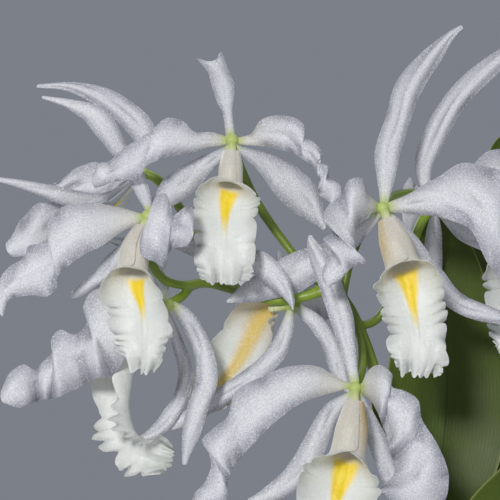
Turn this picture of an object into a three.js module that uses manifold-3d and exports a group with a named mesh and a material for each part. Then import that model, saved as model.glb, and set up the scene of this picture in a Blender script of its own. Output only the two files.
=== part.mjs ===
// A white Cattleya maxima in a clay pot: bulbs with leathery leaves, and a spray of eight blooms.
// Units are millimetres, +Z is up, and the front of the spray faces -Y.
// The origin is the middle of the pot's flat base.

import * as THREE from 'three';
import { mergeVertices } from 'three/addons/utils/BufferGeometryUtils.js';
import Module from 'manifold-3d';

const wasm = await Module();
wasm.setup();

// Driving dimensions

const POT_HEIGHT = 125;
const POT_TOP_RADIUS = 76;
const POT_BASE_RADIUS = 54;
const POT_WALL = 6;
const RIM_HEIGHT = 22;
const RIM_STEP = 4;
const BARK_TOP = 110;
const SPRAY_HEIGHT = 470;
const POT_IN_SPRAY_X = 55;
const POT_IN_SPRAY_DEPTH = 15;
const VIEWING_DISTANCE = 1000;
const TEPAL_THICKNESS = 0.9;
const LIP_THICKNESS = 0.9;
const LEAF_THICKNESS = 1.8;
const CHIPS = 14;
const GAP = 0.3;

// The spray is drawn as it is seen from the front. Its points are x to the right, z up and a
// depth away from the viewer, all from the spray's middle. A far point is set wider than a near
// one, so that both keep their place in the view from VIEWING_DISTANCE. The bulbs and the pot,
// which that view doesn't show, are drawn as they are.

function place(x, z, depth) {
  const widen = 1 + (depth / VIEWING_DISTANCE) * smooth(-270, -170, z);
  return new THREE.Vector3(
    x * widen - POT_IN_SPRAY_X,
    depth - POT_IN_SPRAY_DEPTH,
    z * widen + SPRAY_HEIGHT,
  );
}

// A smooth run through rows of numbers, at u from 0 to 1.

function blend(rows, u) {
  const last = rows.length - 1;
  const at = Math.min(Math.max(u, 0), 0.99999) * last;
  const i = Math.floor(at);
  const t = at - i;
  const p0 = rows[Math.max(i - 1, 0)];
  const p1 = rows[i];
  const p2 = rows[i + 1];
  const p3 = rows[Math.min(i + 2, last)];
  return p1.map((_, k) => {
    const slope = p2[k] - p0[k];
    const bend = 2 * p0[k] - 5 * p1[k] + 4 * p2[k] - p3[k];
    const twist = 3 * p1[k] - p0[k] - 3 * p2[k] + p3[k];
    return 0.5 * (2 * p1[k] + slope * t + bend * t * t + twist * t * t * t);
  });
}

function smooth(from, to, value) {
  const t = Math.min(Math.max((value - from) / (to - from), 0), 1);
  return t * t * (3 - 2 * t);
}

// Solids

function solid(positions, faces) {
  const geometry = new THREE.BufferGeometry();
  geometry.setAttribute('position', new THREE.Float32BufferAttribute(positions, 3));
  geometry.setIndex(faces);
  return toManifold(geometry);
}

function toManifold(geometry) {
  const bare = geometry.clone();
  bare.deleteAttribute('normal');
  bare.deleteAttribute('uv');
  const welded = mergeVertices(bare, 1e-4);
  const mesh = new wasm.Mesh({
    numProp: 3,
    vertProperties: new Float32Array(welded.attributes.position.array),
    triVerts: new Uint32Array(welded.index.array),
  });
  return new wasm.Manifold(mesh);
}

function toGeometry(manifold) {
  const mesh = manifold.getMesh();
  const geometry = new THREE.BufferGeometry();
  const positions = new Float32Array(mesh.vertProperties);
  geometry.setAttribute('position', new THREE.BufferAttribute(positions, 3));
  geometry.setIndex(new THREE.BufferAttribute(new Uint32Array(mesh.triVerts), 1));
  geometry.computeVertexNormals();
  return geometry;
}

function join(solids) {
  return solids.reduce((sum, next) => sum.add(next));
}

// The main body, without crumbs and with its hollows filled.

function largest(manifold) {
  return manifold.decompose().sort((a, b) => b.volume() - a.volume())[0];
}

// A thin blade on the surface point(u, v), with both faces split into triangles alike.

function blade(point, along, across, thickness) {
  const rows = along + 1;
  const columns = across + 1;
  const step = 0.004;
  const positions = [];
  for (const side of [0.5, -0.5]) {
    for (let i = 0; i < rows; i += 1) {
      for (let j = 0; j < columns; j += 1) {
        const u = i / along;
        const v = j / across;
        const du = point(Math.min(u + step, 1), v).sub(point(Math.max(u - step, 0), v));
        const dv = point(u, Math.min(v + step, 1)).sub(point(u, Math.max(v - step, 0)));
        const normal = du.cross(dv).normalize();
        const p = point(u, v).addScaledVector(normal, side * thickness);
        positions.push(p.x, p.y, p.z);
      }
    }
  }
  const under = rows * columns;
  const faces = [];
  const quad = (a, b, c, d) => faces.push(a, b, c, a, c, d);
  for (let i = 0; i < along; i += 1) {
    for (let j = 0; j < across; j += 1) {
      const a = i * columns + j;
      const b = a + columns;
      faces.push(a, b, b + 1, a, b + 1, a + 1);
      faces.push(under + a, under + b + 1, under + b, under + a, under + a + 1, under + b + 1);
    }
  }
  for (let i = 0; i < along; i += 1) {
    const a = i * columns;
    const b = a + columns;
    quad(a, a + under, b + under, b);
    quad(b + across, b + across + under, a + across + under, a + across);
  }
  const end = along * columns;
  for (let j = 0; j < across; j += 1) {
    quad(j + 1, j + 1 + under, j + under, j);
    quad(end + j, end + j + under, end + j + 1 + under, end + j + 1);
  }
  return solid(positions, faces);
}

// A round body along rows of [x, z, depth, radius], closed at both ends.

function limb(rows, rings, sides, ribDepth = 0) {
  const positions = [];
  const faces = [];
  const centre = (u) => {
    const [x, z, depth] = blend(rows, u);
    return place(x, z, depth);
  };
  let side = null;
  for (let i = 0; i <= rings; i += 1) {
    const u = i / rings;
    const radius = blend(rows, u)[3];
    const tangent = centre(Math.min(u + 0.01, 1)).sub(centre(Math.max(u - 0.01, 0))).normalize();
    if (side === null) {
      const flat = Math.abs(tangent.y) > 0.9;
      const guide = flat ? new THREE.Vector3(1, 0, 0) : new THREE.Vector3(0, 1, 0);
      side = guide.cross(tangent);
    }
    side.addScaledVector(tangent, -side.dot(tangent)).normalize();
    const front = new THREE.Vector3().crossVectors(tangent, side);
    for (let k = 0; k < sides; k += 1) {
      const angle = (2 * Math.PI * k) / sides;
      const r = radius - (k % 2) * ribDepth * Math.sin(Math.PI * u);
      const p = centre(u);
      p.addScaledVector(side, r * Math.cos(angle)).addScaledVector(front, r * Math.sin(angle));
      positions.push(p.x, p.y, p.z);
    }
  }
  const foot = positions.length / 3;
  const first = centre(0);
  const last = centre(1);
  positions.push(first.x, first.y, first.z, last.x, last.y, last.z);
  for (let i = 0; i < rings; i += 1) {
    for (let k = 0; k < sides; k += 1) {
      const a = i * sides + k;
      const b = i * sides + ((k + 1) % sides);
      faces.push(a, b, b + sides, a, b + sides, a + sides);
    }
  }
  for (let k = 0; k < sides; k += 1) {
    const next = (k + 1) % sides;
    faces.push(foot, next, k, foot + 1, rings * sides + k, rings * sides + next);
  }
  return solid(positions, faces);
}

function ball(x, z, depth, radius) {
  const geometry = new THREE.SphereGeometry(radius, 8, 5);
  const centre = place(x, z, depth);
  geometry.translate(centre.x, centre.y, centre.z);
  return toManifold(geometry);
}

function lathe(profile, sides) {
  const outline = profile.map(([r, z]) => new THREE.Vector2(r, z));
  const geometry = new THREE.LatheGeometry(outline, sides);
  geometry.rotateX(Math.PI / 2);
  return toManifold(geometry);
}

// Sepals and petals. A tepal's rows run from its base to its tip, and each is
// [x, z of one edge, x, z of the other edge, depth, how much deeper the second edge lies].

function tepalPoint(hub, tepal, u, v) {
  const first = tepal.rows[0];
  const base = [
    hub[0] + 0.3 * (first[0] - first[2]),
    hub[1] + 0.3 * (first[1] - first[3]),
    hub[0] - 0.3 * (first[0] - first[2]),
    hub[1] - 0.3 * (first[1] - first[3]),
    hub[2],
    0,
  ];
  const [ax, az, bx, bz, depth, lean] = blend([base, ...tepal.rows], u);
  const width = Math.hypot(bx - ax, bz - az);
  const across = 2 * v - 1;
  const edge = Math.abs(across) ** 1.6;
  const cup = tepal.cup * width * (1 - across * across);
  const start = smooth(0.12, 0.4, u);
  const turn = tepal.waves * u + tepal.phase + (v > 0.5 ? 0.4 : 0);
  const wave = tepal.wave * edge * start * Math.sin(2 * Math.PI * turn);
  const y = depth + (lean * across) / 2 + cup * smooth(0, 0.2, u) + wave;
  return place(ax + (bx - ax) * v, az + (bz - az) * v, y);
}

const SEPAL = { cup: 0.12, wave: 0.6, waves: 1, phase: 0.1, along: 7, across: 2 };
const PETAL = { cup: 0.08, wave: 2.2, waves: 2.5, phase: 0.2, along: 8, across: 4 };

// Lips. A lip's rows run down its floor from its base to its front, and each is
// [x, z, depth, half its width laid flat, how far its sides roll up in degrees].

function lipFrame(lip, u) {
  const at = (w) => {
    const [x, z, depth] = blend(lip.rows, w);
    return new THREE.Vector3(x, depth, z);
  };
  const tangent = at(Math.min(u + 0.01, 1)).sub(at(Math.max(u - 0.01, 0))).normalize();
  const front = new THREE.Vector3(...lip.face);
  front.addScaledVector(tangent, -front.dot(tangent)).normalize();
  const side = new THREE.Vector3().crossVectors(tangent, front);
  return { centre: at(u), tangent, front, side };
}

function lipPoint(lip, u, v) {
  const { centre, tangent, front, side } = lipFrame(lip, u);
  const [, , , half, roll] = blend(lip.rows, u);
  const across = 2 * v - 1;
  const angle = THREE.MathUtils.degToRad(Math.max(roll, 2));
  const radius = half / angle;
  const open = smooth(0.3, 0.6, u);
  const tip = smooth(0.72, 1, u);
  const sides = Math.abs(across) ** 3 * Math.sin(2 * Math.PI * lip.waves * u) * (1 - tip);
  const mouth = tip * Math.cos(2 * Math.PI * 2.5 * v);
  const frill = lip.frill * open * (sides + mouth);
  centre.addScaledVector(side, radius * Math.sin(angle * across));
  centre.addScaledVector(front, radius * (1 - Math.cos(angle * across)) + frill);
  centre.addScaledVector(tangent, lip.round * tip * (1 - across * across));
  return place(centre.x, centre.z, centre.y);
}

const LIP = { face: [0, -1, 0], frill: 2.4, waves: 5, round: 3, along: 10, across: 8 };

// The blooms, by where they are in the spray. The hub is where the tepals meet the ovary.

const blooms = {
  top: {
    hub: [-9, 55, -12],
    tepals: [
      {
        ...SEPAL,
        rows: [
          [-11, 57, -6, 57, -11, 0],
          [-14, 70, -7.5, 69, 0, 0],
          [-18, 77.5, -7.5, 78.5, 9, 2],
          [-21.5, 86, -10, 86, 18, 3],
          [-26, 93, -12.5, 96, 24, 2],
          [-25, 96, -16, 100, 27, 0],
        ],
      },
      {
        ...PETAL,
        rows: [
          [-12.5, 57, -12.5, 52.5, -12, 0],
          [-22.5, 57, -22.5, 49.5, -16, 0],
          [-32.5, 58.5, -32.5, 47, -20, 2],
          [-41, 65.5, -44, 43.5, -23, 4],
          [-50, 56.5, -51, 40, -23, 2],
          [-61.5, 49, -60, 34, -21, 0],
          [-72.5, 45, -68.5, 32, -18, 0],
          [-77, 37, -75.5, 31.5, -15, 0],
        ],
      },
      {
        ...PETAL,
        phase: 0.6,
        wave: 2.8,
        rows: [
          [-5, 57, -5, 53.5, -12, 0],
          [2.5, 65, 6, 50.5, -15, -4],
          [12.5, 68, 16.5, 47.5, -19, -4],
          [23.5, 65, 25, 42.5, -23, -3],
          [31, 56.5, 31, 39, -27, 0],
          [37.5, 47.5, 33, 34, -31, 2],
          [44, 36, 34, 27.5, -34, 3],
          [45.5, 29, 38, 23.5, -36, 2],
        ],
      },
      {
        ...SEPAL,
        rows: [
          [-12, 52, -9.5, 49, -12, 0],
          [-22.5, 47.5, -17.5, 41, -6, 0],
          [-32.5, 42.5, -25, 32.5, -1, 0],
          [-42.5, 36, -32.5, 25, 3, 0],
          [-47.5, 27.5, -41, 21, 5, 0],
        ],
      },
      {
        ...SEPAL,
        rows: [
          [-5, 52, -6, 49, -12, 0],
          [6, 49.5, 2.5, 41, -5, 0],
          [17.5, 45, 11, 30, 1, 0],
          [28.5, 37.5, 20, 20.5, 6, 0],
          [35, 27.5, 29, 14.5, 9, 0],
          [37, 17.5, 35.5, 11, 10, 0],
        ],
      },
    ],
    lip: {
      ...LIP,
      rows: [
        [-9, 48, -12, 12, 172],
        [-9.5, 40, -14, 17, 172],
        [-9.5, 31, -16, 19, 172],
        [-10.5, 25, -18, 23, 92],
        [-11.5, 17, -21, 19, 50],
        [-12, 5, -26, 17, 24],
        [-12, -6, -29, 16, 12],
        [-12.5, -14, -27, 13, 6],
      ],
    },
  },

  left: {
    hub: [-51, 17, -28],
    tepals: [
      {
        ...SEPAL,
        rows: [
          [-52.5, 20, -49, 20, -27, 0],
          [-57, 27.5, -50, 29, -16, 0],
          [-61, 36, -52.5, 37.5, -2, 0],
          [-61, 41.5, -56, 43.5, 8, 0],
        ],
      },
      {
        ...PETAL,
        waves: 2,
        rows: [
          [-53.5, 19, -52.5, 14.5, -28, 0],
          [-65, 21, -64, 9.5, -32, 0],
          [-79, 22.5, -75, 3.5, -36, 0],
          [-94, 18.5, -85, -4, -40, 0],
          [-102.5, 7.5, -94, -11, -42, 0],
          [-111, -4, -102.5, -22.5, -43, 0],
          [-121, -12.5, -114, -27, -44, 0],
          [-127, -21, -123, -32.5, -43, 0],
        ],
      },
      {
        ...PETAL,
        wave: 1.6,
        rows: [
          [-49, 19, -49, 14.5, -28, 0],
          [-46, 27, -45, 13, -36, 0],
          [-41, 32, -42.5, 7.5, -45, 0],
          [-34, 27, -40, 0.5, -52, 0],
          [-29.5, 21, -34, 1, -56, 0],
          [-28.5, 12.5, -30.5, 3.5, -58, 0],
        ],
      },
      {
        ...SEPAL,
        rows: [
          [-53, 14, -50, 12, -28, 0],
          [-61, 6, -56, 2, -24, 0],
          [-71, -2.5, -64, -8, -18, 0],
          [-80, -12.5, -74, -17, -12, 0],
          [-89, -21, -86, -24, -8, 0],
        ],
      },
      {
        ...SEPAL,
        along: 8,
        rows: [
          [-49, 14, -51, 12, -26, 0],
          [-38, 10, -41, 3, -20, 0],
          [-20, 5, -24, -5, -12, 0],
          [0, 1, -4, -9, -9, 0],
          [10, -2.5, 4.5, -14, -11, 0],
          [18.5, -12, 12.5, -20.5, -12, 0],
          [22, -23, 18.5, -26, -12, 0],
          [22, -29, 21, -29.5, -12, 0],
        ],
      },
    ],
    lip: {
      ...LIP,
      rows: [
        [-52, 10, -29, 12, 172],
        [-54.5, 0, -32, 20, 172],
        [-56, -12, -35, 23, 172],
        [-56, -19, -37, 22, 96],
        [-54, -28, -39, 17.5, 60],
        [-53, -40, -43, 16.5, 32],
        [-53.5, -51, -45, 13, 18],
        [-53.5, -58, -42, 8, 8],
      ],
    },
  },

  lower_left: {
    hub: [-41, -27.5, -6],
    tepals: [
      {
        ...SEPAL,
        rows: [
          [-45, -25, -41, -24, -7, 0],
          [-48, -18, -41, -17, 0, 0],
          [-54, -8, -46, -5, 8, 0],
          [-64, 0, -56, 4, 12, 0],
          [-72, 5, -70, 7, 14, 0],
        ],
      },
      {
        ...PETAL,
        wave: 3,
        waves: 3,
        rows: [
          [-46, -25, -46, -30, -8, 0],
          [-66, -18, -57.5, -46, -14, 0],
          [-79, -21, -64, -55, -17, 0],
          [-84, -31, -72.5, -61, -19, 0],
          [-90, -39, -80, -69, -21, 0],
          [-98.5, -43, -90, -72, -22, 0],
          [-104, -55, -101, -74.5, -23, 0],
          [-114, -59.5, -111, -76.5, -23, 0],
          [-123, -68, -119.5, -79, -23, 0],
        ],
      },
      {
        ...PETAL,
        wave: 0.6,
        rows: [
          [-44, -27, -43, -32, 1, 0],
          [-48, -18, -45, -36, 13, 0],
          [-50, -12, -46, -38, 28, 0],
          [-50, -12, -46, -38, 42, 0],
          [-50, -18, -47, -33, 54, 0],
          [-49, -24, -47, -28, 60, 0],
        ],
      },
      {
        ...SEPAL,
        along: 9,
        rows: [
          [-37, -26, -39, -30, -6, 0],
          [-27.5, -32.5, -33.5, -40, -4, 0],
          [-19.5, -47.5, -28.5, -51, -5, 0],
          [-16, -64, -27, -65, -8, 0],
          [-20, -77.5, -31, -77.5, -10, 0],
          [-25, -92.5, -34, -91, -10, 0],
          [-31, -106, -34, -106, -8, 0],
        ],
      },
      {
        ...SEPAL,
        along: 9,
        rows: [
          [-40, -31, -43, -31, -4, 0],
          [-33.5, -45, -39, -47.5, 3, 0],
          [-29, -60, -36, -61, 6, 0],
          [-31, -74, -38, -72.5, 6, 0],
          [-37.5, -86, -43.5, -81, 4, 0],
          [-46, -94, -50, -89, 2, 0],
          [-55, -97, -56, -94, 0, 0],
        ],
      },
    ],
    lip: {
      ...LIP,
      face: [-1, -0.3, 0.3],
      frill: 3,
      rows: [
        [-47, -33, -4, 12, 172],
        [-54, -40, 2, 15, 170],
        [-58, -51, 3, 18, 150],
        [-59, -62, 1, 20, 112],
        [-61, -80, -3, 19, 98],
        [-57.5, -94, -6, 18, 92],
        [-51, -101, -8, 15, 75],
        [-42, -104, -9, 9, 50],
      ],
    },
  },

  low_middle: {
    hub: [20, -27.5, 12],
    tepals: [
      {
        ...SEPAL,
        rows: [
          [18, -25, 22, -25, 16, 0],
          [14, -20, 21, -20, 30, 0],
          [12, -14, 20, -14, 46, 0],
          [12, -7, 19, -7, 60, 0],
          [14, -1, 16, -1, 68, 0],
        ],
      },
      {
        ...PETAL,
        wave: 0.6,
        rows: [
          [18, -25, 18, -29, 16, 0],
          [11, -16, 10, -28, 30, 0],
          [4, -9, 2, -28, 46, 0],
          [-2, -8, -4, -28, 62, 0],
          [-6, -12, -8, -27, 74, 0],
          [-8, -18, -8, -22, 80, 0],
        ],
      },
      {
        ...PETAL,
        wave: 0.6,
        rows: [
          [23, -25, 23, -29, 16, 0],
          [29, -17, 29, -32, 30, 0],
          [34, -11, 35, -34, 46, 0],
          [38, -10, 40, -34, 62, 0],
          [42, -14, 43, -32, 74, 0],
          [43, -20, 43, -25, 80, 0],
        ],
      },
      {
        ...SEPAL,
        along: 9,
        rows: [
          [22, -28, 18, -31, 11, 0],
          [21.5, -42.5, 13, -42.5, 7, 0],
          [17, -54, 8, -50, 6, 0],
          [6, -65, 0, -58, 6, 0],
          [-8, -74, -13, -67, 7, 0],
          [-25, -85, -27.5, -76, 7, 0],
          [-37, -90, -38, -85, 6, 0],
        ],
      },
      {
        ...SEPAL,
        rows: [
          [25, -27, 22, -31, 12, 0],
          [36, -34, 29, -38, 8, 0],
          [45, -48, 36, -48, 6, 0],
          [49, -60, 40, -61, 6, 0],
          [51, -69, 47, -70, 6, 0],
        ],
      },
    ],
    lip: {
      ...LIP,
      face: [-0.3, -1, 0],
      waves: 4,
      rows: [
        [14, -30, 18, 12, 172],
        [9, -31, 20, 18, 150],
        [4, -36, 22, 20, 105],
        [0, -45, 23, 20, 80],
        [-6, -56, 23, 19, 62],
        [-14, -66, 21, 16, 45],
        [-22, -73, 19, 12, 30],
        [-27, -77, 18, 6, 15],
      ],
    },
  },

  low_right: {
    hub: [52.5, -69, -34],
    tepals: [
      {
        ...SEPAL,
        along: 8,
        rows: [
          [50, -66, 54.5, -66, -34, 0],
          [45, -50, 53, -51, -31, 0],
          [39, -32.5, 51.5, -34, -27, 0],
          [34, -17.5, 47, -19, -21, 0],
          [30, -5, 41, -6, -16, 0],
          [28.5, 3, 34, 3.5, -12, 0],
          [29, 6, 31.5, 6.5, -10, 0],
        ],
      },
      {
        ...PETAL,
        waves: 3,
        rows: [
          [50, -66.5, 51, -71, -34, 0],
          [37.5, -58.5, 41, -73.5, -38, 0],
          [24, -58.5, 29, -78.5, -42, 0],
          [9, -64.5, 17.5, -88.5, -44, 0],
          [-5, -72.5, 7.5, -98, -45, 0],
          [-17.5, -84, 0, -106.5, -45, 0],
          [-22, -100, -2.5, -116.5, -44, 0],
          [-23.5, -115, -6, -125, -43, 0],
          [-27, -123.5, -20, -129, -42, 0],
        ],
      },
      {
        ...PETAL,
        wave: 3,
        waves: 3,
        rows: [
          [55, -67, 55, -71, -34, 0],
          [61, -59, 59, -76, -40, 0],
          [70, -61.5, 63, -84, -46, 0],
          [81, -71.5, 67, -95, -50, 0],
          [87, -87.5, 71, -106, -52, 0],
          [93.5, -100, 72, -115, -52, 0],
          [99, -112.5, 75, -122.5, -50, 0],
          [97.5, -125, 82, -130, -48, 0],
        ],
      },
      {
        ...SEPAL,
        rows: [
          [49, -71, 52, -74, -33, 0],
          [37.5, -77.5, 44, -84, -28, 0],
          [29, -91, 39, -97.5, -25, 0],
          [20, -106, 31, -112.5, -24, 0],
          [9, -117.5, 17.5, -124, -24, 0],
          [0, -124, 3, -128, -25, 0],
        ],
      },
      {
        ...SEPAL,
        rows: [
          [53, -74, 56, -72, -33, 0],
          [56, -87.5, 64, -85, -27, 0],
          [61, -102.5, 71, -100, -23, 0],
          [67.5, -117.5, 76, -115, -21, 0],
          [75, -127.5, 78, -126.5, -20, 0],
        ],
      },
    ],
    lip: {
      ...LIP,
      rows: [
        [52.5, -77, -35, 13, 172],
        [51, -90, -38, 23, 172],
        [48.5, -105, -41, 27, 172],
        [46, -114, -43, 28, 94],
        [43, -125, -46, 23, 52],
        [41, -140, -52, 18, 25],
        [40, -149, -51, 14, 8],
      ],
    },
  },

  right: {
    hub: [66.5, 21, -34],
    tepals: [
      {
        ...SEPAL,
        along: 9,
        rows: [
          [65, 25, 69.5, 25, -34, 0],
          [63, 40, 73, 37.5, -30, 0],
          [62.5, 51, 75.5, 50, -25, 0],
          [67.5, 66, 80, 64, -18, 0],
          [72.5, 82.5, 85.5, 78, -10, 0],
          [84, 97, 94, 92, -2, 0],
          [97.5, 108, 101, 104, 4, 0],
          [104.5, 112, 106, 110, 7, 0],
        ],
      },
      {
        ...PETAL,
        wave: 2.6,
        rows: [
          [64.5, 24, 65, 19, -34, 0],
          [58, 35, 61, 14, -42, 0],
          [50, 35, 56, 9, -50, 0],
          [42.5, 25, 54, 2.5, -54, 0],
          [38, 12.5, 56, -6, -55, 0],
          [37.5, 2.5, 51, -9, -54, 0],
          [39, -6, 47.5, -15, -52, 0],
          [42, -14, 45, -18, -50, 0],
        ],
      },
      {
        ...PETAL,
        wave: 1.6,
        rows: [
          [68.5, 23.5, 69, 19, -34, 0],
          [80, 28.5, 81, 18, -38, 0],
          [91, 35.5, 94, 16.5, -42, -4],
          [106, 42, 107.5, 11, -44, -8],
          [120, 41, 116, 1, -44, -8],
          [132.5, 36, 121, -9, -42, -6],
          [142.5, 22.5, 131, -15, -39, -4],
          [147.5, 7.5, 141, -14, -36, -2],
          [148, -3, 146, -8, -34, 0],
        ],
      },
      {
        ...SEPAL,
        along: 9,
        rows: [
          [63, 19, 65, 16, -32, 0],
          [51, 11, 54, 2, -18, 0],
          [37.5, 3.5, 40, -11, -4, 0],
          [22.5, -1, 26, -20, 2, 0],
          [7.5, -9, 11, -24.5, 3, 0],
          [-4, -17.5, -1, -26.5, 3, 0],
          [-11, -24.5, -10.5, -26.5, 2, 0],
        ],
      },
      {
        ...SEPAL,
        along: 8,
        rows: [
          [67.5, 18, 70, 20, -32, 0],
          [76, 2.5, 84, 6, -24, 0],
          [87.5, -17.5, 96, -10, -18, 0],
          [100, -29.5, 106, -22, -16, 0],
          [115, -35.5, 120, -28, -15, 0],
          [127.5, -37, 130, -33, -14, 0],
        ],
      },
    ],
    lip: {
      ...LIP,
      frill: 3,
      rows: [
        [69, 14, -36, 13, 172],
        [73, 3, -39, 23, 172],
        [77, -9, -42, 26, 172],
        [79, -17, -44, 27, 94],
        [81, -28, -46, 21, 52],
        [82.5, -42, -51, 19, 26],
        [84, -54, -53, 16, 12],
        [85, -61, -50, 12, 6],
      ],
    },
  },

  far_right: {
    hub: [91, 22, 14],
    tepals: [
      {
        ...SEPAL,
        along: 9,
        rows: [
          [87.5, 26, 92, 26, 14, 0],
          [82.5, 42.5, 90.5, 38, 16, 0],
          [87, 60, 96, 51, 19, 0],
          [97.5, 77.5, 107.5, 71.5, 23, 0],
          [112.5, 92, 124, 88, 28, 0],
          [127.5, 102, 135, 97.5, 33, 0],
          [138, 107, 140, 105, 36, 0],
        ],
      },
      {
        ...PETAL,
        wave: 0.6,
        rows: [
          [89, 24, 89, 20, 17, 0],
          [84, 32, 84, 12, 28, 0],
          [80, 35, 80, 6, 42, 0],
          [77, 32, 78, 5, 56, 0],
          [76, 26, 77, 10, 68, 0],
          [77, 20, 77, 15, 74, 0],
        ],
      },
      {
        ...PETAL,
        rows: [
          [94, 25, 94, 20, 16, 0],
          [108, 40, 110, 18, 26, 0],
          [124, 50, 130, 20, 34, 0],
          [142, 50, 148, 18, 38, 0],
          [158, 40, 158, 16, 38, 0],
          [166, 27, 165, 20, 36, 0],
        ],
      },
      {
        ...SEPAL,
        rows: [
          [90, 18, 94, 18, 17, 0],
          [88, 8, 96, 8, 28, 0],
          [87, -6, 96, -6, 38, 0],
          [88, -22, 95, -22, 44, 0],
          [90, -34, 92, -34, 46, 0],
        ],
      },
      {
        ...SEPAL,
        rows: [
          [95, 16, 96, 21, 9, 0],
          [105, 5, 110, 14, -3, 0],
          [120, -2, 126, 7, -9, 0],
          [138, -10, 142, -2, -11, 0],
          [153, -17, 154, -14, -11, 0],
        ],
      },
    ],
    lip: {
      ...LIP,
      face: [-0.2, -1, 0],
      rows: [
        [99, 21, 15, 12, 172],
        [112, 17, 16, 18, 172],
        [125, 7, 18, 22, 165],
        [133, -4, 19, 24, 96],
        [137, -18, 18, 20, 52],
        [137, -34, 14, 18, 26],
        [134, -46, 12, 15, 12],
        [132, -52, 13, 10, 6],
      ],
    },
  },

  far_left: {
    hub: [-54, 39, 28],
    tepals: [
      {
        ...SEPAL,
        along: 9,
        rows: [
          [-52, 42, -55.5, 41, 28, 0],
          [-46, 55, -56, 50, 26, 0],
          [-50, 66, -61, 59, 24, 0],
          [-61, 75.5, -71, 68, 23, 0],
          [-74, 81.5, -81, 74.5, 22, 0],
          [-89, 84, -92, 79.5, 22, 0],
          [-105, 83, -106, 81, 23, 0],
        ],
      },
      {
        ...SEPAL,
        along: 8,
        rows: [
          [-55, 41, -57.5, 39, 27, 0],
          [-61, 51, -67, 46, 17, 0],
          [-67, 64, -76, 56, 13, 0],
          [-76, 72, -84, 65.5, 12, 0],
          [-90, 75.5, -93, 71.5, 12, 0],
          [-103, 77, -103.5, 75.5, 13, 0],
        ],
      },
      {
        ...SEPAL,
        along: 8,
        rows: [
          [-57, 37.5, -58, 35, 26, 0],
          [-69, 30, -72, 24, 16, 0],
          [-80, 28.5, -84, 20.5, 8, 0],
          [-94, 31.5, -96, 23.5, 0, 0],
          [-110, 34.5, -111, 29.5, -6, 0],
          [-126, 36.5, -126, 34, -8, 0],
        ],
      },
      {
        ...PETAL,
        rows: [
          [-57, 36, -58, 33, 30, 0],
          [-74, 27, -76, 14, 24, 0],
          [-91, 25, -87.5, 6, 17, 0],
          [-104, 24, -96, 2, 12, 0],
          [-114, 15, -105, -2, 8, 0],
          [-121, 5, -116, -3, 5, 0],
        ],
      },
      {
        ...PETAL,
        rows: [
          [-56, 41, -58, 37, 30, 0],
          [-64, 44, -69, 29, 36, 0],
          [-76, 44, -79, 23.5, 36, 0],
          [-88, 40, -91, 25, 34, 0],
          [-98, 33, -98, 27, 32, 0],
        ],
      },
    ],
    lip: {
      ...LIP,
      face: [-0.2, 0.4, 1],
      rows: [
        [-55, 35, 33, 8, 150],
        [-60, 30, 42, 13, 150],
        [-66, 25, 50, 17, 130],
        [-70, 21, 56, 18, 90],
        [-74, 16, 64, 17, 50],
        [-77, 10, 70, 14, 25],
        [-79, 4, 74, 8, 5],
      ],
    },
  },
};

const HUB_RADIUS = 4;

function tepalSolid(hub, tepal, thickness) {
  const point = (u, v) => tepalPoint(hub, tepal, u, v);
  return blade(point, tepal.along, tepal.across, thickness);
}

// The column stands in the middle of the lip's tube.

function columnSolid({ hub, lip }, swell) {
  const rows = [[...hub, 2.2 + swell]];
  for (const u of [0.08, 0.16, 0.24]) {
    const { centre, front } = lipFrame(lip, u);
    const [, , , half, roll] = blend(lip.rows, u);
    centre.addScaledVector(front, half / THREE.MathUtils.degToRad(roll));
    rows.push([centre.x, centre.z, centre.y, 2.2 + 2 * u + swell]);
  }
  return limb(rows, 3, 6);
}

function bloomSolid(bloom) {
  const { hub, tepals } = bloom;
  const leaves = tepals.map((tepal) => tepalSolid(hub, tepal, TEPAL_THICKNESS));
  return join([ball(...hub, HUB_RADIUS), columnSolid(bloom, 0), ...leaves]);
}

// The lip's foot is cut clear of the tepals that it stands between.

function lipSolid(bloom) {
  const { hub, tepals, lip } = bloom;
  const whole = blade((u, v) => lipPoint(lip, u, v), lip.along, lip.across, LIP_THICKNESS);
  const room = TEPAL_THICKNESS + 2 * GAP;
  const cuts = tepals.map((tepal) => tepalSolid(hub, tepal, room));
  cuts.push(ball(...hub, HUB_RADIUS + GAP), columnSolid(bloom, GAP));
  return largest(cuts.reduce((sum, cut) => sum.subtract(cut), whole));
}

// The flower stem, with one stalk and ovary for each bloom. Rows are [x, z, depth, radius].

const PEDUNCLE = [
  [78.6, -165.4, 18, 3.2],
  [78.6, -158, 18, 3.2],
  [76, -130, 14, 3.2],
  [69, -90, 10, 3.1],
  [62, -60, 8, 3],
  [54, -38, 6, 3],
  [46, -24, 4, 2.9],
  [38, -20, 6, 2.8],
];

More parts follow.
